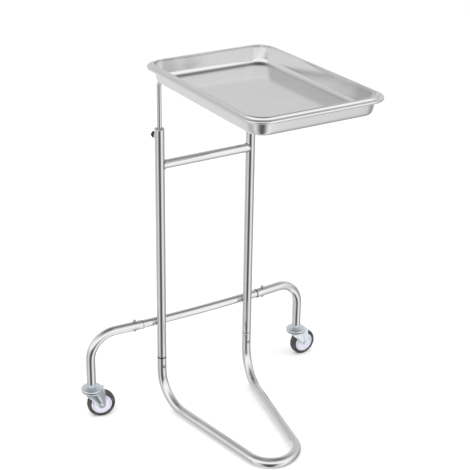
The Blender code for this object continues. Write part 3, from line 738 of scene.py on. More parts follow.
class Finish(Enum):
    """Every finish on the cart."""

    TUBE = MetalFinish(
        "polished_tube", dark=(0.62, 0.62, 0.62), light=(0.82, 0.82, 0.815), smooth=0.06, rough=0.17,
        marks=1500.0, reach=7.0, depth=2e-6, seam=0.0016,
    )
    ROD = MetalFinish(
        "rod_steel", dark=(0.62, 0.62, 0.63), light=(0.80, 0.80, 0.81), smooth=0.08, rough=0.20,
        marks=1800.0, reach=9.0, depth=1e-6,
    )
    TRAY = SheetFinish(
        "tray_steel", dark=(0.64, 0.64, 0.645), light=(0.81, 0.81, 0.815), satin=0.25, polished=0.12,
        lines=900.0, depth=2e-6, ripple=1.6e-4,
    )
    WELD = MetalFinish(
        "weld_steel", dark=(0.30, 0.29, 0.27), light=(0.58, 0.57, 0.55), smooth=0.35, rough=0.62,
        marks=500.0, reach=300.0, depth=1.5e-5,
    )
    FASTENER = MetalFinish(
        "fastener_steel", dark=(0.30, 0.30, 0.31), light=(0.56, 0.56, 0.57), smooth=0.14, rough=0.32,
        marks=2500.0, reach=40.0, depth=2e-6,
    )
    ZINC = MetalFinish(
        "zinc", dark=(0.60, 0.66, 0.71), light=(0.88, 0.93, 0.97), smooth=0.22, rough=0.40,
        marks=350.0, reach=260.0, depth=6e-6, cloud=60.0,
    )
    KNOB = PlasticFinish(
        "black_plastic", base=(0.010, 0.010, 0.011), worn=(0.030, 0.030, 0.031), smooth=0.30, rough=0.52,
        pebble=1500.0, depth=4e-5, wear=0.34,
    )
    NYLON = PlasticFinish(
        "grey_nylon", base=(0.50, 0.50, 0.49), worn=(0.60, 0.60, 0.58), smooth=0.38, rough=0.55,
        pebble=1200.0, depth=2e-5, wear=0.40,
    )
    TYRE = PlasticFinish(
        "tyre_rubber", base=(0.030, 0.029, 0.031), worn=(0.085, 0.082, 0.080), smooth=0.50, rough=0.78,
        pebble=1400.0, depth=5e-5, wear=0.46,
    )
    HUB = PlasticFinish(
        "hub_plastic", base=(0.74, 0.72, 0.83), worn=(0.60, 0.58, 0.66), smooth=0.28, rough=0.46,
        pebble=1000.0, depth=2e-5, wear=0.36,
    )


class Workshop:
    """Turns surfaces into finished pieces on the frame's bodies."""

    def __init__(self) -> None:
        """Makes every finish."""
        self.materials = {finish: finish.value.make() for finish in Finish}

    def fit(self, name: str, grids: Sequence[Grid], finish: Finish, body: str, node: str) -> None:
        """Adds a piece.

        Args:
            name: the piece's name.
            grids: its surfaces.
            finish: what it is finished with.
            body: the body that it rides on.
            node: the frame node that it stands for.
        """
        piece = bpy.data.objects.new(name, build_mesh(name, grids))
        bpy.context.scene.collection.objects.link(piece)
        piece.data.materials.append(self.materials[finish])
        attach(piece, body)
        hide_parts(node)
        LOG.info("%s rides on %s: %d faces", name, body, len(piece.data.polygons))

    def dress(self, finish: Finish, *nodes: str) -> None:
        """Gives frame nodes that stay as they are a finish."""
        for node in nodes:
            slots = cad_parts[node].data.materials
            slots.clear()
            slots.append(self.materials[finish])


# ------------------------------------------------------------------ sub-assemblies


@dataclass
class Posts:
    """The two posts with their bushes, the brace between them and its welds."""

    shop: Workshop
    brace_r: float = 0.0119

    def build(self) -> None:
        """Builds both posts and the brace."""
        for side in Side:
            self.build_post(side)
            self.build_bush(side)
        self.build_brace()

    def build_post(self, side: Side) -> None:
        """A straight polished tube."""
        node = f"{side.label}_post"
        foot, tall = seat_of(node, 2)
        path = PathMaker(foot, (0, 0, 1), (0, 1, 0)).straight(tall, 0.05).path()
        grid = sweep(path, tube_profile(path, TUBE_R, TUBE_R - TUBE_WALL), TUBE_SIDES, True)
        self.shop.fit(f"{side.label}_post_tube", [grid], Finish.TUBE, "stand", node)

    def build_bush(self, side: Side) -> None:
        """The guide bush: a thin collar with a rounded shoulder."""
        node = f"{side.label}_guide_bush"
        foot, tall = seat_of(node, 2)
        bore, inner, shoulder = ROD_R + 0.0004, TUBE_R - TUBE_WALL - 0.0004, tall - 0.0015
        corners = [
            (bore, 0.0), (inner, 0.0), (inner, shoulder), (TUBE_R - 0.0004, shoulder),
            (TUBE_R - 0.0006, tall - 0.0004), (bore + 0.0014, tall), (bore, tall - 0.0004),
        ]
        grid = revolve(corners, 0.0004, foot, loop=True)
        self.shop.fit(f"{side.label}_bush_collar", [grid], Finish.FASTENER, "stand", node)

    def build_brace(self) -> None:
        """The brace, its ends coped to the posts, and a rippled weld at each end.

        The cope is a distance along X of the post's radius, R - sqrt(R^2 - y^2) short of it at height y.
        """
        _, y, z = middle_of("upper_brace")
        posts = [middle_of(f"{side.label}_post")[0] for side in Side]
        angles = round_angles(TUBE_SIDES)
        cope = np.sqrt((TUBE_R + GAP) ** 2 - (self.brace_r * np.cos(angles)) ** 2)
        starts, ends = posts[0] + cope, posts[1] - cope
        share = np.concatenate([[0.0, 0.002], np.linspace(0.05, 0.95, 12), [0.998, 1.0]])
        x_rows = starts[None] + (ends - starts)[None] * share[:, None]
        rows = []
        for radius, flip in ((self.brace_r, 1), (self.brace_r - TUBE_WALL, -1)):
            ring_y = np.broadcast_to(y + radius * np.cos(angles), x_rows.shape)
            ring_z = np.broadcast_to(z + radius * np.sin(angles), x_rows.shape)
            rows.append(np.stack([x_rows, ring_y, ring_z], -1)[::flip])
        points = np.vstack(rows)
        grain = np.stack([points[..., 1] - y, points[..., 2] - z, points[..., 0] + 1.0], -1)
        grid = Grid(points, grain, True, True)
        self.shop.fit("brace_tube", [grid], Finish.TUBE, "stand", "upper_brace")
        for side, edge, inward in ((Side.LEFT, starts, 1), (Side.RIGHT, ends, -1)):
            weld = self.weld_bead(edge, inward, y, z)
            node = f"{side.label}_brace_weld"
            self.shop.fit(f"{side.label}_brace_bead", [weld], Finish.WELD, "stand", node)

    def weld_bead(self, edge: np.ndarray, inward: int, y: float, z: float) -> Grid:
        """A bead round the coped joint: a small circle carried round it, swelling 14 times on the way.

        Args:
            edge: the X of the brace's end at each angle.
            inward: which way the brace leaves the post.
            y: the brace's Y.
            z: the brace's height.

        Returns:
            The bead.
        """
        around = round_angles(len(edge))
        section = round_angles(10)
        swell = 0.00105 + 0.00012 * np.cos(28 * around)
        weld_line = self.brace_r + 0.0004
        radius = weld_line + swell[:, None] * np.cos(section)[None]
        x = edge[:, None] + inward * (0.0010 + swell[:, None] * np.sin(section)[None])
        points = np.stack([x, y + radius * np.cos(around)[:, None], z + radius * np.sin(around)[:, None]], -1)
        return Grid(points, loop=True)


@dataclass
class FloorTube:
    """The U-shaped floor tube and the screws of its joints to the posts."""

    shop: Workshop
    bend_r: float = 0.090
    toe_in: float = math.radians(11.0)
    nose_r: float = 0.068

    def build(self) -> None:
        """Builds the tube and its screws."""
        low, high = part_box("floor_tube")
        left, right = (middle_of(f"{side.label}_post") for side in Side)
        half_x = (right[0] - left[0]) / 2
        inward = np.array([math.sin(self.toe_in), -math.cos(self.toe_in), 0.0])
        leg = (half_x - self.nose_r * math.cos(self.toe_in)) / math.sin(self.toe_in) - self.bend_r
        drop = high.z - low.z - TUBE_R - self.bend_r
        maker = PathMaker((left[0], left[1], high.z), (0, 0, -1), np.cross(inward, (0, 0, 1)))
        maker.straight(drop, 0.02).bend(inward, math.pi / 2, self.bend_r, 24).straight(leg)
        maker.bend((1, 0, 0), math.pi - 2 * self.toe_in, self.nose_r, 56).straight(leg)
        maker.bend((0, 0, 1), math.pi / 2, self.bend_r, 24).straight(drop, 0.02)
        path = maker.path()
        grid = sweep(path, tube_profile(path, TUBE_R, TUBE_R - TUBE_WALL), TUBE_SIDES, True)
        self.shop.fit("floor_tube_loop", [grid], Finish.TUBE, "stand", "floor_tube")
        for side in Side:
            self.build_screw(side)
            self.shop.dress(Finish.ROD, f"{side.label}_base_spigot")

    def build_screw(self, side: Side) -> None:
        """A button-head screw with a hexagon socket."""
        node = f"{side.label}_base_screw"
        front, deep = seat_of(node, 1)
        corners = [
            (0.0, 0.0012), (0.0012, 0.0012), (0.0013, 0.0), (0.0022, 0.0), (0.0039, 0.0009), (0.0043, 0.0026),
            (0.0021, 0.0026), (0.0021, deep), (0.0, deep),
        ]
        grid = revolve(corners, 0.0004, front, Axis.Y, sides=36)
        self.shop.fit(f"{side.label}_joint_screw", [grid], Finish.FASTENER, "stand", node)


@dataclass
class Crossbar:
    """The rear crossbar, its welds, and the two arms that hold the casters."""

    shop: Workshop
    bar_r: float = 0.011
    sweep_r: float = 3.73
    arm_bend_r: float = 0.070
    joint_reach: float = 0.1763
    weld_reach: float = 0.0072

    def build(self) -> None:
        """Builds the bar, the arms and their bolts."""
        low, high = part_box("rear_crossbar")
        self.middle_x = (low.x + high.x) / 2
        self.height = (low.z + high.z) / 2
        self.front_y = low.y + self.bar_r
        half = (high.x - low.x) / 2 - 0.0005
        x = np.linspace(-half, half, 60)
        points = self.bar_at(x)
        tangents = np.gradient(points, axis=0)
        tangents /= np.linalg.norm(tangents, axis=1, keepdims=True)
        path = Path(points, tangents, np.broadcast_to((0.0, 0.0, 1.0), points.shape).copy())
        grid = sweep(path, tube_profile(path, self.bar_r, self.bar_r - TUBE_WALL), TUBE_SIDES, True, -1.0)
        self.shop.fit("crossbar_tube", [grid], Finish.TUBE, "stand", "rear_crossbar")
        for side in Side:
            self.build_arm(side)
            self.build_bolt(side)
            self.build_weld(side)

    def bar_at(self, x: np.ndarray) -> np.ndarray:
        """The bar's axis at distances x from the middle: an arc, R - sqrt(R^2 - x^2) behind its front."""
        back = self.sweep_r - np.sqrt(self.sweep_r**2 - x**2)
        return np.stack([self.middle_x + x, self.front_y + back, np.full_like(x, self.height)], -1)

    def build_arm(self, side: Side) -> None:
        """An arm: up from the caster, bent inwards, and over the crossbar's end."""
        node = f"{side.label}_arm"
        foot = middle_of(f"{side.label}_caster_stem")
        low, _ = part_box(node)
        joint = self.bar_at(np.array([side.value * self.joint_reach]))[0]
        inward = unit((joint[0] - foot[0], joint[1] - foot[1], 0.0))
        rise = self.height - self.arm_bend_r - low.z
        run = math.hypot(joint[0] - foot[0], joint[1] - foot[1]) - self.arm_bend_r
        maker = PathMaker((foot[0], foot[1], low.z), (0, 0, 1), np.cross(inward, (0, 0, 1)))
        path = maker.straight(rise).bend(inward, math.pi / 2, self.arm_bend_r).straight(run).path()
        grid = sweep(path, tube_profile(path, TUBE_R, TUBE_R - TUBE_WALL), TUBE_SIDES, True, path.lengths[-1])
        self.shop.fit(f"{side.label}_arm_tube", [grid], Finish.TUBE, "stand", node)

    def build_weld(self, side: Side) -> None:
        """A rippled bead in the gap where the crossbar touches a post.

        It follows a circle about the contact. At (x, z) from it the post's skin is at sqrt(R^2 - x^2), the
        bar's is at D - sqrt(r^2 - z^2), and the bead is centred between them and fills the gap.
        """
        node = f"{side.label}_crossbar_weld"
        x0, _, z0 = middle_of(node)
        _, y0, _ = middle_of(f"{side.label}_post")
        bar_y = self.bar_at(np.array([x0 - self.middle_x]))[0, 1] - y0
        around = round_angles(96)
        reach = self.weld_reach * (1 + 0.04 * np.cos(17 * around))
        x, z = reach * np.cos(around), reach * np.sin(around)
        post_skin = np.sqrt(TUBE_R**2 - x**2)
        bar_skin = bar_y - np.sqrt(self.bar_r**2 - z**2)
        half = np.maximum((bar_skin - post_skin) / 2, 0.0) + 0.0009 + 0.00012 * np.cos(34 * around)
        section = round_angles(12)[None]
        out = 1 + half[:, None] * np.cos(section) / self.weld_reach
        y = y0 + (post_skin + bar_skin)[:, None] / 2 + half[:, None] * np.sin(section)
        points = np.stack([x0 + x[:, None] * out, y, z0 + z[:, None] * out], -1)
        bead = Grid(points, loop=True)
        self.shop.fit(f"{side.label}_bar_bead", [bead], Finish.WELD, "stand", node)

    def build_bolt(self, side: Side) -> None:
        """The bolt's head below the arm, and a domed nut above it."""
        node = f"{side.label}_arm_bolt"
        foot, tall = seat_of(node, 2)
        corners = [
            (0.0, 0.0), (0.0024, 0.0), (0.0044, 0.0012), (0.0046, 0.0028), (0.0025, 0.0028), (0.0025, tall),
            (0.0, tall),
        ]
        grid = revolve(corners, 0.0005, foot, sides=36)
        self.shop.fit(f"{side.label}_arm_screw", [grid], Finish.FASTENER, "stand", node)
        node = f"{side.label}_arm_cap_nut"
        seat, tall = seat_of(node, 2)
        corners = [
            (0.0, 0.0038), (0.0029, 0.0034), (0.0029, 0.0), (0.0040, 0.0), (0.0046, 0.0005), (0.0046, 0.0024),
            (0.0041, 0.0029), (0.0036, 0.0032), (0.0034, 0.0045), (0.0024, 0.0060), (0.0, tall),
        ]
        grid = revolve(corners, 0.0005, (foot[0], foot[1], seat[2]), sides=72, shape=hexagon(0.008))
        self.shop.fit(f"{side.label}_cap_nut", [grid], Finish.FASTENER, "stand", node)


@dataclass
class LiftFrame:
    """The two bent rods that carry the tray, and the cross rods between them."""

    shop: Workshop
    bend_r: float = 0.015
    cross_r: float = 0.005

    def build(self) -> None:
        """Builds the rods and dresses their guides."""
        for side in Side:
            self.build_rod(side)
            self.shop.dress(Finish.NYLON, f"{side.label}_rod_guide")
        for place in ("rear", "middle", "front"):
            node = f"{place}_cross_rod"
            end, long = seat_of(node, 0)
            path = PathMaker(end, (1, 0, 0), (0, 0, 1)).straight(long).path()
            grid = sweep(path, rod_profile(path, self.cross_r, 0.0006), 40)
            self.shop.fit(f"{place}_cross_bar", [grid], Finish.ROD, "tray_frame", node)

    def build_rod(self, side: Side) -> None:
        """A rod: up out of the post, then forward under the tray."""
        node = f"{side.label}_lift_rod"
        low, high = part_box(node)
        post = middle_of(f"{side.label}_post")
        rise = high.z - ROD_R - self.bend_r - low.z
        run = post[1] - low.y - self.bend_r
        maker = PathMaker((post[0], post[1], low.z), (0, 0, 1), (1, 0, 0))
        path = maker.straight(rise, 0.05).bend((0, -1, 0), math.pi / 2, self.bend_r).straight(run).path()
        grid = sweep(path, rod_profile(path, ROD_R), 48)
        self.shop.fit(f"{side.label}_bent_rod", [grid], Finish.ROD, "tray_frame", node)


@dataclass
class Tray:
    """The pressed tray.

    The section's points are (inset from the rim's outer edge, height from the rim's line). Its height
    follows the bead, the groove, the raised flange, the wall and the floor's rounding, and comes back
    under them one sheet lower.
    """

    shop: Workshop
    sheet: float = 0.001
    corner_r: float = 0.053
    corner_tightens: float = 0.8
    floor_drop: float = 0.0425
    wall_top: float = 0.0165
    wall_foot: float = 0.0230
    floor_r: float = 0.0115
    bead_r: float = 0.0040
    bead_drop: float = 0.0050
    bead_steps: int = 24
    corner_steps: int = 16
    edge_steps: int = 12
    least_radius: float = 0.01

    def section(self) -> tuple[np.ndarray, int]:
        """The section from the edge of the floor's underside, round the bead, to the edge of the floor.

        Returns:
            (points, how many of them are outside).
        """
        half, floor = self.sheet / 2, -self.floor_drop
        reach = self.floor_r * 1.3
        outside = fillet(
            [
                (self.wall_foot - half + reach, floor), (self.wall_foot - half, floor),
                (self.wall_top - half, -0.001), (0.0152, 0.0030), (0.0110, 0.0006), (0.0094, -0.0036),
            ],
            (0.0, self.floor_r, 0.0040, 0.0020, 0.0016, 0.0),
            7,
        )
        around = np.radians(np.linspace(-8.0, -318.0, self.bead_steps))
        bead = np.stack([1 + np.cos(around), np.sin(around)], 1) * self.bead_r - (0.0, self.bead_drop)
        inside = fillet(
            [
                (0.0080, -0.0022), (0.0096, -0.0026), (0.0118, 0.0030), (0.0166, 0.0044),
                (self.wall_top + half, -0.001), (self.wall_foot + half, floor + self.sheet),
                (self.wall_foot + half + reach, floor + self.sheet),
            ],
            (0.0, 0.0016, 0.0020, 0.0020, 0.0030, self.floor_r, 0.0),
            7,
        )
        return np.vstack([outside, bead, inside]), len(outside)

    def build(self) -> None:
        """Builds the tray: rounded rectangles along the section, closed across the floor."""
        low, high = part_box("tray")
        width, length = high.x - low.x, high.y - low.y
        centre = np.array([(low.x + high.x) / 2, (low.y + high.y) / 2, low.z + self.floor_drop])
        section, outside = self.section()
        rings = []
        for inset, height in section:
            radius = max(self.corner_r - self.corner_tightens * inset, self.least_radius)
            sides = (width - 2 * inset, length - 2 * inset)
            flat = rounded_rectangle(*sides, radius, self.corner_steps, self.edge_steps)
            rings.append(np.hstack([flat, np.full((len(flat), 1), height)]))
        walls = np.stack(rings)
        around = lengths_along(np.vstack([walls[outside], walls[outside][:1]]))[:-1]
        grain = np.empty_like(walls)
        grain[..., 0] = lengths_along(section)[:, None]
        grain[..., 1] = (np.arange(len(section)) > outside + self.bead_steps // 2)[:, None]
        grain[..., 2] = around[None]
        shares = np.array([0.998, 0.8, 0.6, 0.4, 0.2, 0.0])[:, None, None]
        under, over = self.shrunk(walls[0], shares), self.shrunk(walls[-1], shares)
        points = np.vstack([under[::-1], walls, over])
        below, above = self.straight_grain(under[::-1], 0.0), self.straight_grain(over, 1.0)
        grains = np.vstack([below, grain, above])
        self.shop.fit("pressed_tray", [Grid(points + centre, grains)], Finish.TRAY, "instrument_tray", "tray")

    @staticmethod
    def straight_grain(rings: np.ndarray, polish: float) -> np.ndarray:
        """The floor's grain: lines that run lengthwise."""
        grain = np.full_like(rings, polish)
        grain[..., 0], grain[..., 2] = rings[..., 0], rings[..., 1]
        return grain

    @staticmethod
    def shrunk(ring: np.ndarray, shares: np.ndarray) -> np.ndarray:
        """Rings drawn in towards the middle at the same height."""
        flat = ring[None] * shares
        flat[..., 2] = ring[None, :, 2]
        return flat


@dataclass
class Clamp:
    """A boss behind a post, and the screw and knob that hold the rod."""

    shop: Workshop
    side: Side
    lobes: int = 6
    knob_r: float = 0.0087

    def build(self) -> None:
        """Builds the boss, the screw and the knob."""
        name = self.side.label
        self.shop.dress(Finish.FASTENER, f"{name}_clamp_boss")
        self.shop.dress(Finish.NYLON, f"{name}_clamp_pad")
        self.build_screw(f"{name}_clamp_screw")
        self.build_knob(f"{name}_clamp_knob")

    def build_screw(self, node: str) -> None:
        """The screw, with the crests of its thread as rings 1 mm apart: a cosine along its length."""
        front, length = seat_of(node, 1)
        path = PathMaker(front, (0, 1, 0), (0, 0, 1)).straight(length, 0.005).path()
        travel = np.arange(0.0008, length - 0.0008, 0.00025)
        radii = CLAMP_SCREW_R - 0.00022 * (0.5 + 0.5 * np.cos(FULL_TURN * travel / 0.001))
        ends = [(0.0, 0.0), (0.0, 0.0024)], [(length, 0.0024), (length, 0.0)]
        profile = np.vstack([ends[0], np.stack([travel, radii], 1), ends[1]])
        body = f"{self.side.label}_clamp_turn"
        self.shop.fit(f"{self.side.label}_thread", [sweep(path, profile, 32)], Finish.FASTENER, body, node)

    def build_knob(self, node: str) -> None:
        """A lobed knob: its radius swells and shrinks as 1 - 0.045 (1 + cos 6a) on the grip."""
        front, depth = seat_of(node, 1)
        rim = self.knob_r
        corners = [
            (0.0, 0.0073), (0.0033, 0.0073), (0.0033, 0.0), (0.0050, 0.0), (0.0054, 0.0022),
            (rim - 0.0010, 0.0030), (rim, 0.0042), (rim, depth - 0.0016), (rim - 0.0014, depth - 0.0004),
            (rim - 0.0040, depth), (0.0030, depth - 0.0006), (0.0, depth - 0.0006),
        ]

        def lobed(radii: np.ndarray, angles: np.ndarray) -> np.ndarray:
            """Waves the radius, more the further out it is."""
            share = np.clip((radii - 0.0045) / 0.0040, 0.0, 1.0)
            return radii * (1 - 0.045 * share * (1 + np.cos(self.lobes * angles)))

        grid = revolve(corners, 0.0009, front, Axis.Y, steps=5, sides=120, shape=lobed)
        self.shop.fit(f"{self.side.label}_knob", [grid], Finish.KNOB, f"{self.side.label}_clamp_turn", node)


@dataclass
class Caster:
    """One swivel caster, from the socket in the arm down to the tyre.

    Lengths across are in the caster's own frame: x along its trail, y along the axle.
    """

    shop: Workshop
    side: Side
    trail_turn: float
    wheel_r: float = 0.0375
    half_width: float = 0.0105
    hub_r: float = 0.0272
    fork_inside: float = 0.0125
    fork_plate: float = 0.0024
    crown_top: float = 0.081
    crown_r: float = 0.0275
    trail: float = 0.024
    eye_r: float = 0.0095
    stem_bore: float = 0.0054
    leg_ends: tuple[float, float] = (-0.0165, 0.0338)
    leg_shoulder: float = 0.070
    crease_height: float = 0.0009
    flange_height: float = 0.0010
    place: np.ndarray = field(default_factory=lambda: np.zeros(3))
    axle: np.ndarray = field(default_factory=lambda: np.zeros(3))

    def build(self) -> None:
        """Builds the caster from the top down."""
        name = self.side.label
        stem = middle_of(f"{name}_caster_stem")
        self.place = np.array([stem[0], stem[1], 0.0])
        self.axle = self.own(np.array([self.trail, 0.0, self.wheel_r]))
        self.build_mounting(name)
        self.build_fork(name)
        self.build_axle(name)
        self.build_wheel(name)
        self.shop.dress(Finish.ROD, f"{name}_ball_ring", f"{name}_wheel_bush")
        self.shop.dress(Finish.ZINC, f"{name}_caster_stem")

    def build_mounting(self, name: str) -> None:
        """The socket's lip, the nut and the dished top race."""
        bore = self.stem_bore
        node = f"{name}_caster_socket"
        seat, tall = seat_of(node, 2)
        plug_r = 0.0109
        corners = [
            (bore, 0.0), (TUBE_R, 0.0), (TUBE_R, 0.0013), (plug_r, 0.0013), (plug_r, tall), (bore, tall),
        ]
        grid = revolve(corners, 0.0004, self.place + (0, 0, seat[2]), loop=True)
        self.shop.fit(f"{name}_arm_plug", [grid], Finish.NYLON, "stand", node)
        node = f"{name}_stem_nut"
        seat, tall = seat_of(node, 2)
        corners = [
            (bore, 0.0), (0.0083, 0.0), (0.0098, 0.0008), (0.0098, tall - 0.0008), (0.0083, tall),
            (bore, tall),
        ]
        centre = self.place + (0, 0, seat[2])
        grid = revolve(corners, 0.0003, centre, sides=96, loop=True, shape=hexagon(0.017))
        self.shop.fit(f"{name}_lock_nut", [grid], Finish.ZINC, "stand", node)
        node = f"{name}_caster_top_race"
        _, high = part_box(node)
        corners = [
            (bore, 0.0), (0.0130, 0.0), (0.0160, -0.0005), (0.0215, -0.0008), (0.0258, -0.0022),
            (0.0281, -0.0044), (0.0285, -0.0064), (0.0267, -0.0064), (0.0262, -0.0048), (0.0238, -0.0030),
            (0.0205, -0.0022), (bore, -0.0020),
        ]
        grid = revolve(corners, 0.0009, self.place + (0, 0, high.z), steps=4, sides=96, loop=True)
        self.shop.fit(f"{name}_dished_race", [grid], Finish.ZINC, "stand", node)

    def own(self, points: np.ndarray) -> np.ndarray:
        """Places points of the caster's own frame on the cart."""
        return points @ turning(self.trail_turn).T + self.place

    def build_fork(self, name: str) -> None:
        """The crown, the web behind it and the two legs."""
        plate, rim, bore = self.fork_plate, self.crown_r, self.stem_bore + 0.0002
        corners = [
            (bore, 0.0), (rim - 0.0030, 0.0), (rim, -0.0016), (rim, -0.0036), (rim - 0.0020, -0.0036),
            (rim - 0.0028, -plate), (bore, -plate),
        ]
        crown = revolve(corners, 0.0010, self.place + (0, 0, self.crown_top), steps=4, sides=96, loop=True)
        legs = [self.fork_leg(sign) for sign in (-1, 1)]
        web_width, web_middle = 0.0205, 0.02225
        web_length = 2 * (self.fork_inside + plate * 0.9)
        web = slab(web_width, web_length, 0.004, -plate + 0.0001, -0.0001, 0.0006)
        web = self.own(web + (web_middle, 0.0, self.crown_top))
        body, node = f"{name}_caster_swivel", f"{name}_caster_fork"
        self.shop.fit(f"{name}_pressed_fork", [crown, *legs, Grid(web)], Finish.ZINC, body, node)

    def fork_leg(self, sign: int) -> Grid:
        """A leg: a thin rounded section carried up from the eye, widening to the crown.

        At height z the section runs from front(z) to back(z). Both meet the eye's circle below the axle,
        and above it they go to the leg's ends by the height's share to the power 1.15. A crease stands out
        0.9 mm along the middle, and the front edge turns out by 1 mm.

        Args:
            sign: which side of the wheel the leg is on.

        Returns:
            The leg.
        """
        axle_z, top = self.wheel_r, self.crown_top - 0.0004
        eye_z = axle_z - self.eye_r * np.cos(np.linspace(0.0, math.pi / 2, 14))
        z = np.concatenate([eye_z, np.linspace(axle_z, top, 26)[1:]])
        chord = np.sqrt(np.maximum(self.eye_r**2 - (z - axle_z) ** 2, 0.0))
        half = np.where(z < axle_z, chord, self.eye_r)
        rise = np.clip((z - axle_z) / (self.leg_shoulder - axle_z), 0.0, 1.0)
        widening = rise**1.15
        front = self.trail - half + (self.leg_ends[0] - (self.trail - self.eye_r)) * widening
        back = self.trail + half + (self.leg_ends[1] - (self.trail + self.eye_r)) * widening
        spread = np.concatenate([np.linspace(0.0, 1.0, 18), np.linspace(1.0, 0.0, 18)])[None]
        skin = np.repeat([1.0, 0.0], 18)[None]
        across = front[:, None] + (back - front)[:, None] * spread
        crease = np.exp(-(((spread - 0.52) / 0.10) ** 2)) * np.sin(np.pi * rise * 0.9)[:, None]
        flange = np.clip(1 - spread / 0.16, 0, 1) ** 2 * np.sin(np.pi * rise)[:, None]
        pressed = self.crease_height * crease + self.flange_height * flange
        out = self.fork_inside + self.fork_plate * skin * 0.98 + pressed
        heights = np.broadcast_to(z[:, None], across.shape)
        points = np.stack([across, sign * out, heights], -1)
        first, last = (np.broadcast_to(row.mean(0), (1, *row.shape)) for row in (points[0], points[-1]))
        return Grid(self.own(np.vstack([first, points, last])))

    def build_axle(self, name: str) -> None:
        """The axle's domed head and its nut."""
        body = f"{name}_caster_swivel"
        face = self.fork_inside + self.fork_plate + GAP
        end = face + 0.0085
        corners = [
            (0.0, -face - 0.0040), (0.0030, -face - 0.0038), (0.0048, -face - 0.0024),
            (0.0054, -face - 0.0006), (0.0054, -face), (0.0040, -face), (0.0040, end), (0.0, end),
        ]
        grid = revolve(corners, 0.0007, self.axle, Axis.Y, self.trail_turn, 4, 48)
        self.shop.fit(f"{name}_axle_pin", [grid], Finish.ZINC, body, f"{name}_axle_bolt")
        corners = [
            (0.0044, face), (0.0066, face), (0.0075, face + 0.0006), (0.0075, face + 0.0048),
            (0.0064, face + 0.0054), (0.0058, face + 0.0065), (0.0046, face + 0.0065),
        ]
        grid = revolve(corners, 0.0003, self.axle, Axis.Y, self.trail_turn, 3, 96, True, hexagon(0.013))
        self.shop.fit(f"{name}_lock_nut_axle", [grid], Finish.ZINC, body, f"{name}_axle_nut")

    def build_wheel(self, name: str) -> None:
        """The tyre and the hub with its raised ring."""
        half, rim = self.half_width, self.hub_r + GAP
        tread = [
            (rim, half - 0.0006), (rim + 0.0016, half), (self.wheel_r - 0.0036, half),
            (self.wheel_r - 0.0008, half - 0.0030), (self.wheel_r, half - 0.0080),
        ]
        hub_bore = 0.0063
        face = [
            (hub_bore, half + 0.0006), (0.0098, half + 0.0006), (0.0108, half - 0.0026),
            (0.0196, half - 0.0022), (0.0206, half - 0.0006), (0.0218, half - 0.0002),
            (0.0223, half - 0.0040), (0.0243, half - 0.0040), (0.0249, half - 0.0004),
            (self.hub_r, half - 0.0006),
        ]
        for piece, node, outline, rounding, steps, finish in (
            ("rubber_tyre", "tyre", tread, 0.0022, 6, Finish.TYRE),
            ("moulded_hub", "hub", face, 0.0005, 4, Finish.HUB),
        ):
            corners = outline + [(r, -y) for r, y in outline[::-1]]
            grid = revolve(corners, rounding, self.axle, Axis.Y, self.trail_turn, steps, 128, True)
            self.shop.fit(f"{name}_{piece}", [grid], finish, f"{name}_wheel", f"{name}_{node}")


# ------------------------------------------------------------------ studio


@dataclass(frozen=True)
class SoftLight:
    """A square light that looks at the middle of the cart."""

    name: str
    place: tuple[float, float, float]
    size: float
    power: float

    def hang(self, target: Vector) -> None:
        """Makes the light, aimed at a point."""
        light = bpy.data.lights.new(self.name, "AREA")
        light.size, light.energy = self.size, self.power
        lamp = bpy.data.objects.new(self.name, light)
        bpy.context.scene.collection.objects.link(lamp)
        lamp.location = self.place
        lamp.rotation_euler = (target - Vector(self.place)).to_track_quat("-Z", "Y").to_euler()
        lamp.visible_glossy = False


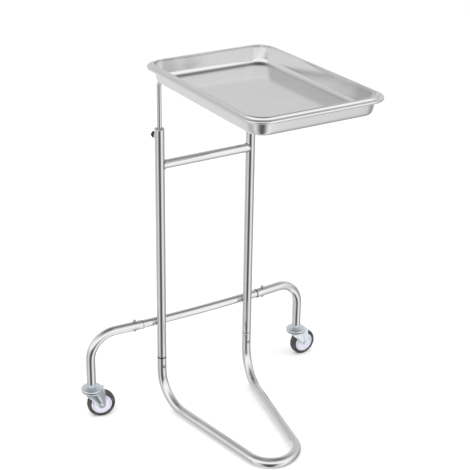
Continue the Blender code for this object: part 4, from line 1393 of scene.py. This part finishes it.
@dataclass
class Studio:
    """Camera, floor, lights and the room that the steel mirrors.

    Attributes:
        eye: where the camera stands.
        yaw: its turn about +Z, in degrees.
        pitch: how far it looks down, in degrees.
        lens: its focal length, in millimetres.
        shift: its lens shift, across and up.
        floor_reach: half the floor's width.
        towards: the level direction from the cart to the camera's side of the room.
        far_side: how bright the room's far side is, as a share of the near side.
        mirrored: how bright the room is to the mirroring steel, as a share of the plain white.
    """

    eye: tuple[float, float, float] = (-1.3797, -2.1307, 1.7366)
    yaw: float = -29.252
    pitch: float = 22.208
    lens: float = 87.465
    shift: tuple[float, float] = (0.09574, -0.11702)
    floor_reach: float = 60.0
    towards: tuple[float, float] = (-0.4886, -0.8725)
    far_side: float = 0.62
    mirrored: float = 1.25

    def build(self) -> None:
        """Sets up the camera, the floor, the lights and the room."""
        self.build_camera()
        self.build_floor()
        middle = Vector((0, 0, 0.5))
        SoftLight("key_light", (-1.8, -1.6, 3.2), 2.4, 60.0).hang(middle)
        SoftLight("fill_light", (2.4, -1.2, 2.0), 2.0, 22.0).hang(middle)
        self.build_room()
        bpy.context.scene.view_settings.view_transform = "Standard"

    def build_camera(self) -> None:
        """The camera at the viewing angle."""
        camera = bpy.data.cameras.new("studio_camera")
        camera.sensor_width = 36.0
        camera.lens = self.lens
        camera.shift_x, camera.shift_y = self.shift
        camera.clip_end = 200.0
        seat = bpy.data.objects.new("studio_camera", camera)
        bpy.context.scene.collection.objects.link(seat)
        yaw, pitch = math.radians(self.yaw), math.radians(self.pitch)
        level = math.cos(pitch)
        towards = Vector((-math.sin(yaw) * level, math.cos(yaw) * level, -math.sin(pitch)))
        across = towards.cross(Vector((0, 0, 1))).normalized()
        above = across.cross(towards)
        turned = Matrix((across, above, -towards)).transposed().to_4x4()
        seat.matrix_world = Matrix.Translation(self.eye) @ turned
        bpy.context.scene.camera = seat

    def build_floor(self) -> None:
        """A wide pale floor that the steel doesn't mirror."""
        reach = self.floor_reach
        corners = [(-reach, -reach, 0.0), (reach, -reach, 0.0), (reach, reach, 0.0), (-reach, reach, 0.0)]
        mesh = bpy.data.meshes.new("studio_floor")
        mesh.from_pydata(corners, [], [(0, 1, 2, 3)])
        floor = bpy.data.objects.new("studio_floor", mesh)
        bpy.context.scene.collection.objects.link(floor)
        material = bpy.data.materials.new("pale_floor")
        material.use_nodes = True
        shader = Shader(material.node_tree)
        shader.surface({"Base Color": (0.97, 0.97, 0.97, 1.0), "Roughness": 0.9, "Specular IOR Level": 0.0})
        mesh.materials.append(material)
        floor.visible_glossy = False

    def build_room(self) -> None:
        """The room: plain white to the eye, and bands of light and shade to the mirroring steel.

        The bands follow the compass direction below the horizon and the height above it.
        """
        world = bpy.data.worlds.new("studio_room")
        bpy.context.scene.world = world
        world.use_nodes = True
        shader = Shader(world.node_tree)
        direction = shader.node("ShaderNodeTexCoord", {}).outputs["Generated"]
        x, y, z = shader.node("ShaderNodeSeparateXYZ", {}, (direction,)).outputs
        compass = shader.node("ShaderNodeMath", {"operation": "ARCTAN2"}, (y, x)).outputs[0]
        share = Value(shader, compass) / FULL_TURN + 0.5
        height = Value(shader, z)
        low_band = shader.ramp(self.low_stops(), share)
        high_band = shader.ramp(self.high_stops(), height * 0.5 + 0.5)
        near_side = Value(shader, x) * self.towards[0] + Value(shader, y) * self.towards[1]
        dimming = self.far_side + (1 - self.far_side) * near_side.above(0.0, 0.5)
        share_above = height.above(0.0, 0.16)
        tone = high_band * dimming * share_above + low_band * (1 - share_above)
        rays = shader.node("ShaderNodeLightPath", {})
        mirrored = shader.node("ShaderNodeBackground", {}, (tone, self.mirrored))
        plain = shader.node("ShaderNodeBackground", {}, ((1.0, 1.0, 1.0, 1.0), 1.0))
        sockets = (rays.outputs["Is Glossy Ray"], plain.outputs[0], mirrored.outputs[0])
        both = shader.node("ShaderNodeMixShader", {}, sockets)
        shader.node("ShaderNodeOutputWorld", {}, (both.outputs[0],))

    @staticmethod
    def low_stops() -> list[tuple[float, float]]:
        """Brightness by compass direction in degrees from the near side, wrapped to the ramp's 0 to 1."""
        near_side = -120.0
        bands = (
            (-180, 0.80), (-150, 0.76), (-126, 0.78), (-104, 0.50), (-88, 0.52), (-60, 0.92), (-38, 0.66),
            (-18, 0.16), (0, 0.08), (18, 0.12), (36, 0.72), (58, 1.0), (88, 0.46), (120, 0.30), (150, 0.55),
        )
        return sorted((((angle + near_side) % 360 + 180) % 360 / 360, tone) for angle, tone in bands)

    @staticmethod
    def high_stops() -> list[tuple[float, float]]:
        """Brightness by height, from the horizon up to overhead."""
        return [(0.5, 0.95), (0.62, 1.0), (0.74, 1.0), (0.85, 0.80), (0.92, 0.48), (0.97, 0.22), (1.0, 0.16)]


def main() -> None:
    """Builds every sub-assembly in order."""
    logging.basicConfig(level=logging.INFO, format="%(name)s: %(message)s")
    shop = Workshop()
    for assembly in (Posts(shop), FloorTube(shop), Crossbar(shop), LiftFrame(shop), Tray(shop)):
        assembly.build()
    turns = {Side.LEFT: math.radians(-15.0), Side.RIGHT: 0.0}
    for side in Side:
        Clamp(shop, side).build()
        Caster(shop, side, turns[side]).build()
    Studio().build()


if __name__ == "__main__":
    main()
